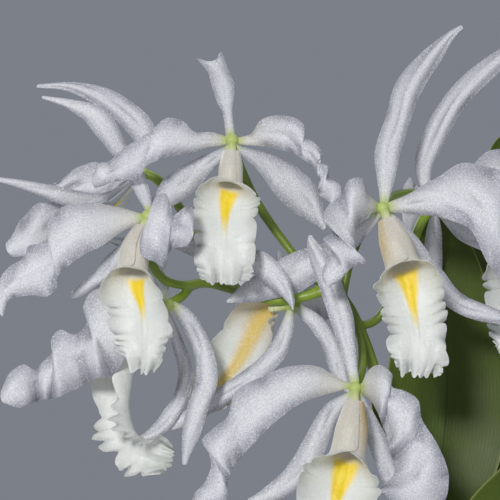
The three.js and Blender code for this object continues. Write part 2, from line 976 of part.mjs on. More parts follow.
const STALKS = {
  top: [[38, -20, 6, 2.2], [30, -12, 11, 2], [14, 8, 14, 2.3], [2, 26, 12, 2.6], [-6, 44, 4, 2.6]],
  left: [
    [38, -20, 6, 2.6],
    [25, -21, 10, 2.4],
    [-5, -18, 12, 2.3],
    [-22, -16.5, 11, 2.2],
    [-34, -17.5, 2, 2.2],
    [-44, -14, -8, 2.3],
    [-51, -3, -12, 2.6],
    [-55, 10, -16, 2.5],
  ],
  lower_left: [[-5, -18, 12, 2.2], [-20, -17, 13, 2.2], [-29, -18, 11, 2.4], [-34, -23, 4, 2.6]],
  low_middle: [[38, -20, 6, 2.2], [34, -18, 6, 2.2], [28, -20, 7, 2.4]],
  low_right: [[50, -32, 5, 2.2], [55, -44, -2, 2.2], [56, -56, -12, 2.6], [54, -65, -24, 2.6]],
  right: [
    [46, -24, 4, 2.4],
    [50, -6, 6, 2.2],
    [58, 12, 12, 2.2],
    [72, 26, 12, 2.4],
    [84, 28, 2, 2.8],
    [73, 27, -16, 2.7],
  ],
  far_right: [[54, -38, 6, 2.2], [64, -34, 12, 2.2], [76, -14, 12, 2.3], [84, 10, 10, 2.6]],
  far_left: [[-5, -18, 12, 2.2], [-20, -2, 22, 2.2], [-33, 18, 29, 2.4], [-45, 34, 27, 2.6]],
};

function flowerStem() {
  const pieces = [limb(PEDUNCLE, 10, 7)];
  for (const [name, rows] of Object.entries(STALKS)) {
    const [x, z, depth] = blooms[name].hub;
    const full = [...rows, [x, z, depth, 2.6]];
    pieces.push(limb(full, rows.length + 2, 6));
  }
  let stem = join(pieces);
  for (const bloom of Object.values(blooms)) {
    stem = stem.subtract(ball(...bloom.hub, HUB_RADIUS + GAP));
  }
  return largest(stem);
}

// Growths: a bulb on the rhizome and one leaf on each bulb, from the newest to the oldest.
// Bulb rows are [x, z, depth, radius]; leaf rows are like a tepal's.

const RHIZOME_TOP = -352;

const GROWTHS = [
  {
    foot: [78, 14],
    top: [82, -166, 18],
    leaf: [
      [81, -160, 87, -160, 23, 0],
      [80, -148, 96, -148, 28, 0],
      [68, -118, 120, -118, 38, 0],
      [67, -80, 129, -80, 44, 0],
      [71, -45, 126, -45, 46, 0],
      [76, -10, 116, -10, 46, 0],
      [84, 14, 104, 14, 45, 0],
      [91, 26, 95, 26, 44, 0],
    ],
  },
  {
    foot: [58, 30],
    top: [92, -182, 46],
    leaf: [
      [91, -176, 97, -176, 50, 0],
      [94, -160, 110, -164, 54, 0],
      [104, -120, 146, -130, 62, 0],
      [108, -75, 160, -80, 68, 0],
      [108, -25, 160, -25, 72, 0],
      [110, 20, 150, 22, 72, 0],
      [120, 50, 134, 52, 70, 0],
      [127, 58, 129, 58, 69, 0],
    ],
  },
  {
    foot: [42, 20],
    top: [56, -206, 14],
    leaf: [
      [53, -201, 59, -201, 12, 0],
      [66, -186, 72, -200, 2, 0],
      [92, -150, 112, -188, -10, 0],
      [118, -116, 150, -160, -18, 0],
      [150, -92, 178, -134, -22, 0],
      [180, -82, 194, -108, -22, 0],
      [196, -82, 198, -86, -20, 0],
    ],
  },
  {
    foot: [24, 10],
    top: [14, -222, 0],
    leaf: [
      [17, -217, 11, -217, -1, 0],
      [-4, -206, 2, -216, -6, 0],
      [-34, -176, -20, -212, -14, 0],
      [-66, -158, -54, -204, -20, 0],
      [-98, -154, -92, -200, -22, 0],
      [-128, -166, -124, -196, -20, 0],
      [-144, -182, -143, -186, -18, 0],
    ],
  },
  {
    foot: [8, 22],
    top: [-6, -238, 34],
    leaf: [
      [-9, -233, -3, -233, 36, 0],
      [-26, -222, -2, -212, 44, 0],
      [-44, -208, 0, -186, 58, 0],
      [-58, -190, -8, -166, 76, 0],
      [-66, -168, -20, -148, 94, 0],
      [-66, -150, -34, -138, 108, 0],
      [-57, -136, -52, -134, 116, 0],
    ],
  },
];

const LEAF = { cup: 0.1, wave: 1, waves: 1.5, phase: 0.3 };

function bulbSolid({ foot, top }) {
  const [x, depth] = foot;
  const middle = [(x + top[0]) / 2, (RHIZOME_TOP + top[1]) / 2, (depth + top[2]) / 2];
  const rows = [
    [x, RHIZOME_TOP + GAP, depth, 6],
    [x, RHIZOME_TOP + 18, depth, 8],
    [...middle, 11],
    [top[0], top[1] - 34, top[2], 10],
    [top[0], top[1] - 8, top[2], 7.5],
    [...top, 7],
  ];
  return limb(rows, 7, 12, 1.4);
}

function leafSolid({ top, leaf }) {
  const start = leaf[0];
  const middle = (start[0] + start[2]) / 2;
  const root = [middle, start[1] - 3, start[4]];
  const tepal = { ...LEAF, rows: leaf };
  const body = blade((u, v) => tepalPoint(root, tepal, u, v), 8, 4, LEAF_THICKNESS);
  const heel = [
    [top[0] + 3.4, top[1] + GAP, top[2], 3],
    [top[0] + 3.4, top[1] + 4, top[2], 2.8],
    [middle, start[1] + 1, start[4], 2],
  ];
  return body.add(limb(heel, 2, 6));
}

// The green sheath round the foot of the flower stem is rolled up like a lip.

const SPATHE = {
  ...LIP,
  face: [0, -1, 0],
  frill: 0,
  round: 4,
  rows: [
    [78, -152, 22, 13.6, 170],
    [76, -130, 18.8, 13.8, 165],
    [72, -104, 17, 14, 140],
    [68, -86, 15.4, 12, 120],
    [65.5, -74, 14, 8, 90],
    [63.8, -65, 13.4, 5, 60],
  ],
};

function rhizomeRows(swell) {
  return [
    [88, RHIZOME_TOP - 9, 12, 4 + swell],
    [76, RHIZOME_TOP - 7, 16, 5.5 + swell],
    [58, RHIZOME_TOP - 7, 28, 5.5 + swell],
    [42, RHIZOME_TOP - 7, 21, 5.5 + swell],
    [24, RHIZOME_TOP - 7, 12, 5.5 + swell],
    [8, RHIZOME_TOP - 7, 21, 5.5 + swell],
    [-2, RHIZOME_TOP - 9, 24, 4 + swell],
  ];
}

// Roots leave the rhizome, run over the bark and dive into it. Rows are [x, z, depth, radius].

const ROOTS = [
  [[78, -356, 14, 2], [92, -358, 4, 2], [102, -360, -10, 1.9], [104, -372, -18, 1.7]],
  [[62, -356, 24, 2], [72, -357, 40, 2], [78, -360, 54, 1.9], [80, -374, 60, 1.7]],
  [[44, -356, 22, 2], [36, -357, 40, 2], [30, -360, 54, 1.9], [26, -374, 62, 1.7]],
  [[26, -356, 13, 2], [20, -357, -4, 2], [24, -359, -20, 1.9], [30, -374, -30, 1.7]],
  [[10, -356, 19, 2], [0, -357, 8, 2], [-4, -360, -6, 1.9], [-2, -374, -14, 1.7]],
];

function rhizomeSolid(swell) {
  const pieces = [limb(rhizomeRows(swell), 10, 8)];
  for (const rows of ROOTS) {
    const grown = rows.map(([x, z, depth, radius]) => [x, z, depth, radius + swell]);
    pieces.push(limb(grown, 4, 5));
  }
  for (const { foot } of GROWTHS) {
    const [x, depth] = foot;
    const stub = [
      [x, RHIZOME_TOP - 7, depth, 6.5 + swell],
      [x, RHIZOME_TOP, depth, 6 + swell],
    ];
    pieces.push(limb(stub, 1, 8));
    if (swell > 0) {
      const room = [
        [x, RHIZOME_TOP - 1, depth, 8.5],
        [x, RHIZOME_TOP + 30, depth, 11],
      ];
      pieces.push(limb(room, 1, 8));
    }
  }
  return join(pieces);
}

// The pot and its bark

const INNER_TOP_RADIUS = POT_TOP_RADIUS - POT_WALL;
const INNER_BASE_RADIUS = POT_BASE_RADIUS - POT_WALL;

function potSolid() {
  const taper = (z) => POT_BASE_RADIUS + ((POT_TOP_RADIUS - RIM_STEP - POT_BASE_RADIUS) * z) / POT_HEIGHT;
  const rimFoot = POT_HEIGHT - RIM_HEIGHT;
  const shell = lathe(
    [
      [0, 0],
      [POT_BASE_RADIUS - 2, 0],
      [POT_BASE_RADIUS, 2],
      [taper(rimFoot), rimFoot],
      [POT_TOP_RADIUS - 1.5, rimFoot + 1.5],
      [POT_TOP_RADIUS, rimFoot + 5],
      [POT_TOP_RADIUS, POT_HEIGHT - 2],
      [POT_TOP_RADIUS - 2, POT_HEIGHT],
      [INNER_TOP_RADIUS + 1, POT_HEIGHT],
      [INNER_TOP_RADIUS, POT_HEIGHT - 1.5],
      [INNER_TOP_RADIUS - 2, rimFoot],
      [INNER_BASE_RADIUS, POT_WALL],
      [0, POT_WALL],
    ],
    28,
  );
  const holes = [0, 120, 240].map((angle) => {
    const hole = new THREE.CylinderGeometry(5, 5, 3 * POT_WALL, 12);
    hole.rotateX(Math.PI / 2);
    hole.translate(28, 0, 0);
    hole.rotateZ(THREE.MathUtils.degToRad(angle));
    return toManifold(hole);
  });
  return holes.reduce((pot, hole) => pot.subtract(hole), shell);
}

// Chips lie at places set by a small seeded rule, so that every build gives the same bark.

function seeded(seed) {
  let state = seed;
  return () => {
    state = (state * 16807) % 2147483647;
    return state / 2147483647;
  };
}

function barkSolid() {
  const rimFoot = POT_HEIGHT - RIM_HEIGHT;
  const slope = (INNER_TOP_RADIUS - INNER_BASE_RADIUS) / (rimFoot - POT_WALL);
  const wall = (z) => INNER_BASE_RADIUS + slope * (z - POT_WALL) * 0.9 - GAP;
  let bark = lathe(
    [
      [0, POT_WALL + GAP],
      [wall(POT_WALL) - 1, POT_WALL + GAP],
      [wall(BARK_TOP - 12) - 4, BARK_TOP - 12],
      [wall(BARK_TOP - 12) - 6, BARK_TOP - 4],
      [0, BARK_TOP - 2],
    ],
    36,
  );
  const random = seeded(41);
  for (let n = 0; n < CHIPS; n += 1) {
    const reach = 54 * Math.sqrt((n + 0.5) / CHIPS);
    const angle = n * 2.39996;
    const chip = new THREE.BoxGeometry(15 + 9 * random(), 10 + 6 * random(), 8 + 3 * random());
    chip.rotateX(0.6 * (random() - 0.5));
    chip.rotateY(0.6 * (random() - 0.5));
    chip.rotateZ(6.28 * random());
    const height = BARK_TOP - 3 + 4 * random();
    chip.translate(reach * Math.cos(angle), reach * Math.sin(angle), height);
    bark = bark.add(toManifold(chip));
  }
  const cleared = bark.subtract(rhizomeSolid(GAP + 0.1));
  return largest(cleared);
}

// The finished nodes, each with its own plain colour

const group = new THREE.Group();
group.name = 'potted_cattleya_maxima';

function addNode(name, manifold, color, roughness) {
  const material = new THREE.MeshStandardMaterial({ color, roughness, metalness: 0 });
  const mesh = new THREE.Mesh(toGeometry(manifold), material);
  mesh.name = name;
  group.add(mesh);
}

addNode('pot', potSolid(), '#a8623f', 0.85);
addNode('bark', barkSolid(), '#6b4a31', 0.95);
addNode('rhizome', rhizomeSolid(0), '#8b8f58', 0.7);
GROWTHS.forEach((growth, i) => {
  addNode(`pseudobulb_${i + 1}`, bulbSolid(growth), '#7d8c4a', 0.55);
  addNode(`leaf_${i + 1}`, leafSolid(growth), '#3c4b19', 0.4);
});
const spathe = blade((u, v) => lipPoint(SPATHE, u, v), 8, 6, 0.8);
addNode('spathe', spathe, '#8c9650', 0.5);
addNode('flower_stem', flowerStem(), '#6f8a3a', 0.4);
for (const [name, bloom] of Object.entries(blooms)) {
  addNode(`bloom_${name}`, bloomSolid(bloom), '#c8cbd7', 0.5);
  addNode(`lip_${name}`, lipSolid(bloom), '#d7dee0', 0.45);
}

export default group;
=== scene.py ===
import bpy
import math
import numpy as np
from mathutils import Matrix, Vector


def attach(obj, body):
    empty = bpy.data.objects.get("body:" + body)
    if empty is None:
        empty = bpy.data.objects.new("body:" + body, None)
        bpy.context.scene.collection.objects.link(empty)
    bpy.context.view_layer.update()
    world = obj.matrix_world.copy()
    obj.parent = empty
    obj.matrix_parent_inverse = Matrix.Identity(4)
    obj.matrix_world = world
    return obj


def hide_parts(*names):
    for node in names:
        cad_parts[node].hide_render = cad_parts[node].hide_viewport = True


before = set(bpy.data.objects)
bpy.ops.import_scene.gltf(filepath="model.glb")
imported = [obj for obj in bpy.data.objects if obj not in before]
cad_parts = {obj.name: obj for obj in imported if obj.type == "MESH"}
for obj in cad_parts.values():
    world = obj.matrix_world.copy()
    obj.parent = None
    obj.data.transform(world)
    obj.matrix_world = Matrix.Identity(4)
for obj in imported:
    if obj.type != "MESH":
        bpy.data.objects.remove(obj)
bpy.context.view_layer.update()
MM = 0.001

# Camera, light and world

CAMERA_PLACE = (-0.055, -1.015, 0.470)
CAMERA_LENS = 144
SENSOR_WIDTH = 36
SKY = (0.86, 0.92, 1.0, 1)
SKY_STRENGTH = 0.2
BACKDROP = (0.2, 0.215, 0.25, 1)
SPRAY = (-0.03, -0.01, 0.47)

# Each light's place, size, power and colour. All of them aim at the spray.
LIGHTS = {
    "key": ((-0.36, -1.5, 0.9), 0.22, 15.5, (1, 0.985, 0.96)),
    "fill": ((1.3, -1.2, 0.7), 1.2, 1.2, (0.93, 0.96, 1)),
    "top": ((0.2, 0.5, 1.9), 1.0, 5, (1, 1, 1)),
    "back": ((-0.9, 1.2, 0.9), 0.9, 9, (1, 1, 1)),
}

camera_data = bpy.data.cameras.new("camera")
camera_data.sensor_width = SENSOR_WIDTH
camera_data.lens = CAMERA_LENS
camera = bpy.data.objects.new("camera", camera_data)
camera.location = CAMERA_PLACE
camera.rotation_euler = (math.pi / 2, 0, 0)
bpy.context.scene.collection.objects.link(camera)
bpy.context.scene.camera = camera

bpy.context.scene.view_settings.view_transform = "Standard"
world = bpy.data.worlds.new("studio")
world.use_nodes = True
sky = world.node_tree.nodes["Background"]
sky.inputs["Color"].default_value = SKY
sky.inputs["Strength"].default_value = SKY_STRENGTH
backdrop = world.node_tree.nodes.new("ShaderNodeBackground")
backdrop.inputs["Color"].default_value = BACKDROP
ray = world.node_tree.nodes.new("ShaderNodeLightPath")
either = world.node_tree.nodes.new("ShaderNodeMixShader")
world.node_tree.links.new(ray.outputs["Is Camera Ray"], either.inputs[0])
world.node_tree.links.new(sky.outputs[0], either.inputs[1])
world.node_tree.links.new(backdrop.outputs[0], either.inputs[2])
world.node_tree.links.new(either.outputs[0], world.node_tree.nodes["World Output"].inputs[0])
bpy.context.scene.world = world


def area_light(name, place, aim, size, power, color):
    data = bpy.data.lights.new(name, "AREA")
    data.size = size
    data.energy = power
    data.color = color
    lamp = bpy.data.objects.new(name, data)
    lamp.location = place
    lamp.rotation_euler = (Vector(aim) - Vector(place)).to_track_quat("-Z", "Y").to_euler()
    bpy.context.scene.collection.objects.link(lamp)


for light, (where, size, power, color) in LIGHTS.items():
    area_light(light, where, SPRAY, size, power, color)

# Forms

# Sizes are in mm, as in the solids.
POT_HEIGHT = 125
POT_TOP_RADIUS = 76
POT_BASE_RADIUS = 54
POT_WALL = 6
RIM_HEIGHT = 22
RIM_STEP = 4
BARK_TOP = 110
SPRAY_HEIGHT = 470
POT_IN_SPRAY_X = 55
POT_IN_SPRAY_DEPTH = 15
VIEWING_DISTANCE = 1000
RHIZOME_TOP = -352
HUB_RADIUS = 4
GAP = 0.3
INNER_TOP_RADIUS = POT_TOP_RADIUS - POT_WALL
INNER_BASE_RADIUS = POT_BASE_RADIUS - POT_WALL
RIM_FOOT = POT_HEIGHT - RIM_HEIGHT
DRAIN_HOLES = 3
DRAIN_RADIUS = 5
DRAIN_FROM_AXIS = 28
BARK_CHIPS = 230
BARK_REACH = 57
BARK_SEED = 41

# Steps of each sheet, along it and across it.
TEPAL_GRID = (54, 26)
TEPAL_STEPS_A_ROW = 7
LIP_GRID = (160, 60)
LEAF_GRID = (72, 26)
SHEATH_GRID = (48, 28)
# The painted shade in a hollow is measured over so many steps each way, and is full at so many mm.
HOLLOW_REACH = 4
TEPAL_HOLLOW = 0.5
LIP_HOLLOW = 0.7
# How many times the margin of a lip curls on its way to the tip, and how unevenly.
RUFFLES = 12.5
RUFFLE_DRIFT = 2.4
# The column's radius, and where it lies along its lip.
COLUMN_RADIUS = 2.2
COLUMN_ALONG = (0.08, 0.16, 0.24)
# The stem's parts are joined in cells of this size, in mm.
STEM_CELL = 0.62
STEM_TIP_RADIUS = 2.5
# Each bulb's dry sheaths, from and to shares of its height.
SHEATH_SPANS = [(0.06, 0.42), (0.2, 0.62)]
SHEATH_THICKNESS = 0.45
SPATHE_THICKNESS = 0.7
FLOOR_RADIUS = 2400
FLOOR_SIDES = 96

# How a blade is shaped, in mm. cup is a share of the width, wave the swing of an edge, fine its
# crimping, crumple its creases, lobe how far the outline wanders and round how far the tip runs on.
SEPAL = {
    "cup": -0.14, "wave": 1.0, "waves": 1, "phase": 0.1, "fine": 0.3, "crimps": 5,
    "crumple": 0.6, "lobe": 0.03, "lobes": 2.2, "round": 0.45,
}
PETAL = {
    "cup": -0.1, "wave": 3.0, "waves": 2.5, "phase": 0.2, "fine": 0.8, "crimps": 8,
    "crumple": 1.7, "lobe": 0.07, "lobes": 2.6, "round": 0.35,
}
LEAF = {
    "cup": 0.1, "wave": 1, "waves": 1.5, "phase": 0.3, "fine": 0.12, "crimps": 7,
    "crumple": 0.3, "lobe": 0.006, "lobes": 2, "round": 0.45,
}
# A lip faces along face. crisp is the height of its ruffles, and shut closes its tube.
LIP = {"face": [0, -1, 0], "frill": 2.4, "waves": 5, "round": 3, "crisp": 1.6, "shut": 1}


def sepal(rows, **changes):
    return {**SEPAL, **changes, "rows": rows}


def petal(rows, **changes):
    return {**PETAL, **changes, "rows": rows}


# A tepal's rows run from its foot to its tip: one edge's x and z, the other edge's x and z, the
# depth and, where it isn't 0, how much deeper the second edge lies. A lip's rows give the middle's
# x, z and depth, half the width round the curve and the angle that this half turns through.
BLOOMS = {
    "top": {"hub": [-9, 55, -12], "tepals": [
        sepal([
            [-12, 57, -7.5, 57, -11], [-13.5, 67.5, -8.8, 69, 0], [-16.5, 74, -8, 76.5, 7, 2],
            [-19, 81.5, -8, 83.5, 14, 3], [-21, 88.5, -9.5, 87.5, 20, 3], [-23.5, 92, -12, 93.5, 24, 2],
            [-26.5, 95.5, -14, 99.5, 27],
        ], round=-0.42, wave=1.2, crumple=0.3, lobe=0),
        petal([
            [-12.5, 57, -12.5, 52.5, -12], [-19.5, 59, -21.5, 51, -15], [-27.5, 59, -30, 48.5, -18, -3],
            [-33.5, 64.5, -40, 46.8, -21, -6], [-41.5, 66, -46.5, 44.5, -23, -6],
            [-49, 60, -52, 41.5, -23, -2], [-55, 56, -55.5, 36, -23, 2], [-64, 50.5, -62, 35, -21],
            [-70, 44.5, -68.5, 34, -20, -2], [-76, 43, -73, 32, -18, 2], [-78.5, 38, -76.5, 31.5, -15],
        ], wave=2, lobe=0.02),
        petal([
            [-4.5, 56.5, -5, 52.8, -12], [1, 58.5, 2, 52.2, -14], [5.5, 65, 9, 51.5, -17, 5],
            [14, 67.5, 16, 50, -20, 2], [23, 66, 21, 48.8, -22, 7], [27.5, 61.5, 24.5, 46.5, -23, 3],
            [25, 56.5, 27.5, 44.5, -26, -8], [31.5, 54, 30.5, 42, -27, 5], [36, 48.5, 33, 39.5, -29, 4],
            [34, 44, 34.2, 36.5, -32, -6], [39, 42, 34.5, 33.5, -33, 5], [39.5, 36.5, 34, 30.5, -35, -4],
            [44.5, 33, 34.5, 27.5, -36, 4], [45.5, 28, 37.5, 25, -37, 3], [43, 24.5, 40, 24, -38],
        ], phase=0.6, wave=1.5, waves=3.4, lobe=0.03, lobes=2.3, crumple=1.5),
        sepal([
            [-12, 52, -9.5, 49, -12], [-22.5, 47.5, -17.5, 41, -6], [-32.5, 42.5, -25, 32.5, -1],
            [-42.5, 36, -32.5, 25, 3], [-47.5, 27.5, -41, 21, 5],
        ]),
        sepal([
            [-5, 52, -6, 49, -12], [6, 49.5, 2.5, 41, -5], [17.5, 45, 11, 30, 1],
            [28.5, 37.5, 20, 20.5, 6], [35, 27.5, 29, 14.5, 9], [37, 17.5, 35.5, 11, 10],
        ]),
    ], "lip": {"rows": [
        [-9, 48, -12, 12, 172], [-9.5, 40, -14, 17, 172], [-10, 31, -16, 19, 172],
        [-11.5, 25, -18, 22, 92], [-12.5, 17, -21, 18, 50], [-12.5, 5, -26, 15.5, 24],
        [-12.5, -6, -29, 15, 12], [-12.5, -14, -27, 12.5, 6],
    ]}},
    "left": {"hub": [-51, 17, -28], "tepals": [
        sepal([
            [-52.5, 20, -49, 20, -27], [-57, 27.5, -50, 29, -16], [-61, 36, -52.5, 37.5, -2],
            [-61, 41.5, -56, 43.5, 8],
        ]),
        petal([
            [-53.5, 18, -52.5, 14.5, -28], [-64.5, 21, -63.5, 9.5, -32, -3],
            [-77.5, 23.5, -73.5, 2.5, -36, -7], [-88.5, 23.5, -83, -2, -39, -8],
            [-97, 19.5, -90, -7.5, -41, -9], [-101.5, 12, -96, -13, -43, -6],
            [-102, 4, -96.5, -19, -43, 3], [-110.5, 2, -101.5, -23, -43, -3],
            [-113.5, -4, -108.5, -22.5, -44, 2], [-119.5, -7.5, -116, -23.5, -44],
            [-124.5, -13.5, -120.5, -25.5, -44], [-126.5, -20, -122.5, -31.5, -43],
            [-126, -27, -123.5, -32.5, -43],
        ], waves=2, wave=1.8, lobe=0.02),
        petal([
            [-49.5, 18, -50.5, 14, -29], [-48.5, 21.5, -53.5, 9.5, -38, -10],
            [-47.5, 26, -55, 2.5, -44, -12], [-44.5, 28.5, -54, -3, -48, -10],
            [-41.5, 26.5, -48, -6.5, -50, -8], [-39.5, 21.5, -42.5, -9, -47, -2],
            [-38.5, 17.5, -42, -4, -44, 6], [-33.5, 21, -39, 0.5, -44, 6],
            [-29.5, 21.5, -34.5, 1, -47, -2], [-28, 17, -31, 2.5, -50], [-28.5, 11.5, -29.5, 6, -51],
        ], wave=1.4, waves=2.6, crumple=1.0, lobe=0.03, cup=0),
        sepal([
            [-53, 14, -50, 12, -28], [-61, 6, -56, 2, -24], [-71, -2.5, -64, -8, -18],
            [-80, -12.5, -74, -17, -12], [-89, -21, -86, -24, -8],
        ]),
        sepal([
            [-49, 14, -51, 12, -26], [-38, 10, -41, 3, -20], [-20, 5, -24, -5, -12], [0, 1, -4, -9, -9],
            [10, -2.5, 4.5, -14, -11], [18.5, -12, 12.5, -20.5, -12], [22, -23, 18.5, -26, -12],
            [22, -29, 21, -29.5, -12],
        ]),
    ], "lip": {"face": [-0.4, -1, 0], "crisp": 1.9, "rows": [
        [-52, 10, -29, 12, 172], [-54.5, 0, -32, 20, 172], [-56, -12, -35, 23, 172],
        [-56, -19, -37, 22, 96], [-54, -28, -39, 17.5, 60], [-53, -40, -43, 16.5, 32],
        [-53.5, -51, -45, 13, 18], [-53.5, -58, -42, 8, 8],
    ]}},
    "lower_left": {"hub": [-41, -27.5, -6], "tepals": [
        sepal([
            [-45, -25, -41, -24, -7], [-48, -18, -41, -17, 0], [-54, -8, -46, -5, 8],
            [-64, 0, -56, 4, 12], [-72, 5, -70, 7, 14],
        ]),
        petal([
            [-46, -25, -46, -30.5, -8], [-64, -18.5, -57.5, -44, -14], [-78.5, -20.5, -63, -55, -18, -5],
            [-83.5, -28.5, -68.5, -62, -17, 5], [-81.5, -35.5, -75, -63.5, -20, -8],
            [-87.5, -42, -81, -66.5, -17, 6], [-95, -40.5, -88, -70.5, -19, -4],
            [-99.5, -45.5, -94.5, -73, -22, -6], [-98, -50, -99, -74, -19, 6],
            [-104.5, -56.5, -102.5, -74.5, -20, -3], [-107.5, -60, -106, -75.5, -16, 8],
            [-113.5, -57.5, -110, -77.5, -22, -3], [-120.5, -62, -116, -79, -24],
            [-123.5, -70, -121, -76.5, -24],
        ], wave=2, waves=3.2, lobe=0.03, crumple=1.6),
        petal([
            [-44, -27, -43, -32, 1], [-48, -18, -45, -36, 13], [-50, -12, -46, -38, 28],
            [-50, -12, -46, -38, 42], [-50, -18, -47, -33, 54], [-49, -24, -47, -28, 60],
        ], wave=0.6),
        sepal([
            [-37, -26, -39, -30, -6], [-27.5, -32.5, -33.5, -40, -4], [-19.5, -47.5, -28.5, -51, -5],
            [-16, -64, -27, -65, -8], [-20, -77.5, -31, -77.5, -10], [-25, -92.5, -34, -91, -10],
            [-31, -106, -34, -106, -8],
        ]),
        sepal([
            [-40, -31, -43, -31, -4], [-33.5, -45, -39, -47.5, 3], [-29, -60, -36, -61, 6],
            [-31, -74, -38, -72.5, 6], [-37.5, -86, -43.5, -81, 4], [-46, -94, -50, -89, 2],
            [-55, -97, -56, -94, 0],
        ]),
    ], "lip": {"face": [-1, -0.3, 0.3], "frill": 3, "crisp": 2.6, "rows": [
        [-47, -33, -4, 12, 172], [-54, -40, 2, 15, 170], [-58, -51, 3, 18, 150], [-59, -62, 1, 20, 112],
        [-61, -80, -3, 19, 98], [-57.5, -94, -6, 18, 92], [-51, -101, -8, 15, 75], [-42, -104, -9, 9, 50],
    ]}},
    "low_middle": {"hub": [20, -27.5, 12], "column": 0.1, "tepals": [
        sepal([
            [18, -25, 22, -25, 16], [14, -20, 21, -20, 30], [12, -14, 20, -14, 46], [12, -7, 19, -7, 60],
            [14, -1, 16, -1, 68],
        ]),
        petal([
            [18, -25, 18, -29, 16], [11, -16, 10, -28, 30], [4, -9, 2, -28, 46], [-2, -8, -4, -28, 62],
            [-6, -12, -8, -27, 74], [-8, -18, -8, -22, 80],
        ], wave=0.6),
        petal([
            [23, -25, 23, -29, 16], [29, -17, 29, -32, 30], [34, -11, 35, -34, 46],
            [38, -10, 40, -34, 62], [42, -14, 43, -32, 74], [43, -20, 43, -25, 80],
        ], wave=0.6),
        sepal([
            [22, -28, 18, -31, 11], [21.5, -42.5, 13, -42.5, 7], [17, -54, 8, -50, 6],
            [6, -65, 0, -58, 6], [-8, -74, -13, -67, 7], [-25, -85, -27.5, -76, 7],
            [-37, -90, -38, -85, 6],
        ]),
        sepal([
            [25, -27, 22, -31, 12], [36, -34, 29, -38, 8], [45, -48, 36, -48, 6], [49, -60, 40, -61, 6],
            [51, -69, 47, -70, 6],
        ]),
    ], "lip": {"face": [-0.3, -1, 0], "waves": 4, "crisp": 1.0, "shut": 0, "rows": [
        [14, -29, 18, 10, 120], [10, -30, 20, 15, 100], [5, -35, 22, 17, 84], [0, -45, 23, 17.5, 70],
        [-6, -56, 23, 17, 58], [-14, -66, 21, 15, 45], [-22, -73, 19, 12, 30], [-27, -77, 18, 6, 15],
    ]}},
    "low_right": {"hub": [52.5, -69, -34], "tepals": [
        sepal([
            [50, -66, 54.5, -66, -34], [45, -50, 53, -51, -31], [39, -32.5, 51.5, -34, -27],
            [34, -17.5, 47, -19, -21], [30, -5, 41, -6, -16], [28.5, 3, 34, 3.5, -12],
            [29, 6, 31.5, 6.5, -10],
        ]),
        petal([
            [47, -65.5, 49, -69.5, -34], [41, -62, 39, -72, -37], [34.5, -58.5, 30.5, -74.5, -40, -3],
            [26.5, -57.5, 24, -77.5, -42, -5], [16, -59, 18, -81.5, -43, -6],
            [6.5, -63, 11.5, -87, -44, -5], [-1.5, -66.5, 4.5, -94, -45, -4],
            [-8, -72.5, -0.5, -99.5, -46, -3], [-11, -83, -5, -104.5, -45, 4],
            [-17.5, -88.5, -8.5, -108.5, -45], [-24, -95, -10, -112, -46, -5],
            [-21, -101, -11, -115, -43, 6], [-19.5, -108, -11.5, -119, -44],
            [-22.5, -116, -11, -123.5, -44], [-27.5, -121.5, -14, -127.5, -43],
            [-28, -124.5, -20.5, -129, -42],
        ], waves=3, wave=1.6, lobe=0.02, crumple=1.4),
        petal([
            [55.5, -67, 55.5, -71.5, -34], [59.5, -60, 60.5, -75.5, -39, -3],
            [65, -57.5, 63.5, -80.5, -45, -3], [71, -62, 65, -84, -48, -6],
            [71, -68, 66.5, -88.5, -44, 7], [77, -70.5, 68, -92, -47, 4], [84, -75.5, 69, -96.5, -50, -3],
            [85.5, -83.5, 70, -100.5, -51, -5], [88.5, -89, 71.5, -104.5, -46, 6],
            [93.5, -96, 73, -108, -50, 3], [97, -104, 71.5, -113, -52, -4], [99, -112, 67, -117, -52, -5],
            [99, -118.5, 65, -120, -51], [97.5, -124.5, 70, -125, -50], [94, -129, 77, -129, -49],
        ], wave=1.6, waves=3, lobe=0.02, crumple=1.4),
        sepal([
            [49, -71, 52, -74, -33], [37.5, -77.5, 44, -84, -28], [29, -91, 39, -97.5, -25],
            [20, -106, 31, -112.5, -24], [9, -117.5, 17.5, -124, -24], [0, -124, 3, -128, -25],
        ]),
        sepal([
            [53, -74, 56, -72, -33], [56, -87.5, 64, -85, -27], [61, -102.5, 71, -100, -23],
            [67.5, -117.5, 76, -115, -21], [75, -127.5, 78, -126.5, -20],
        ]),
    ], "lip": {"rows": [
        [52.5, -77, -35, 13, 172], [51, -90, -38, 23, 172], [48.5, -105, -41, 27, 172],
        [46, -114, -43, 28, 94], [43, -125, -46, 23, 52], [41, -140, -52, 18, 25], [40, -149, -51, 14, 8],
    ]}},
    "right": {"hub": [66.5, 21, -34], "tepals": [
        sepal([
            [65, 25, 69.5, 25, -34], [63, 40, 73, 37.5, -30], [62.5, 51, 75.5, 50, -25],
            [67.5, 66, 80, 64, -18], [72.5, 82.5, 85.5, 78, -10], [84, 97, 94, 92, -2],
            [97.5, 108, 101, 104, 4], [104.5, 112, 106, 110, 7],
        ]),
        petal([
            [64, 23.5, 64.5, 19.5, -34], [58, 29.5, 61, 18.5, -41], [56, 36, 57, 16.5, -47, 5],
            [49.5, 35, 54, 13, -50, 5], [45.5, 28, 52.5, 8, -50, -3], [39, 22, 52.5, 3.5, -53, 2],
            [37, 15, 53.5, -1, -54, 6], [41.5, 9.5, 58, -6, -51, -6], [36.5, 5.5, 51.5, -8.5, -54, 5],
            [41, 0.5, 48, -11.5, -51, -5], [38, -6, 45.5, -14.5, -52, 2], [36, -12, 43, -16.5, -51],
            [37.5, -16, 40.5, -18, -50],
        ], wave=1.6, lobe=0.02, crumple=1.2),
        petal([
            [68.5, 23.5, 69, 19, -34], [80, 28.5, 81, 18, -38], [91, 35.5, 94, 16.5, -42, -4],
            [106, 42, 107.5, 11, -44, -8], [120, 41, 116, 1, -44, -8], [132.5, 36, 121, -9, -42, -6],
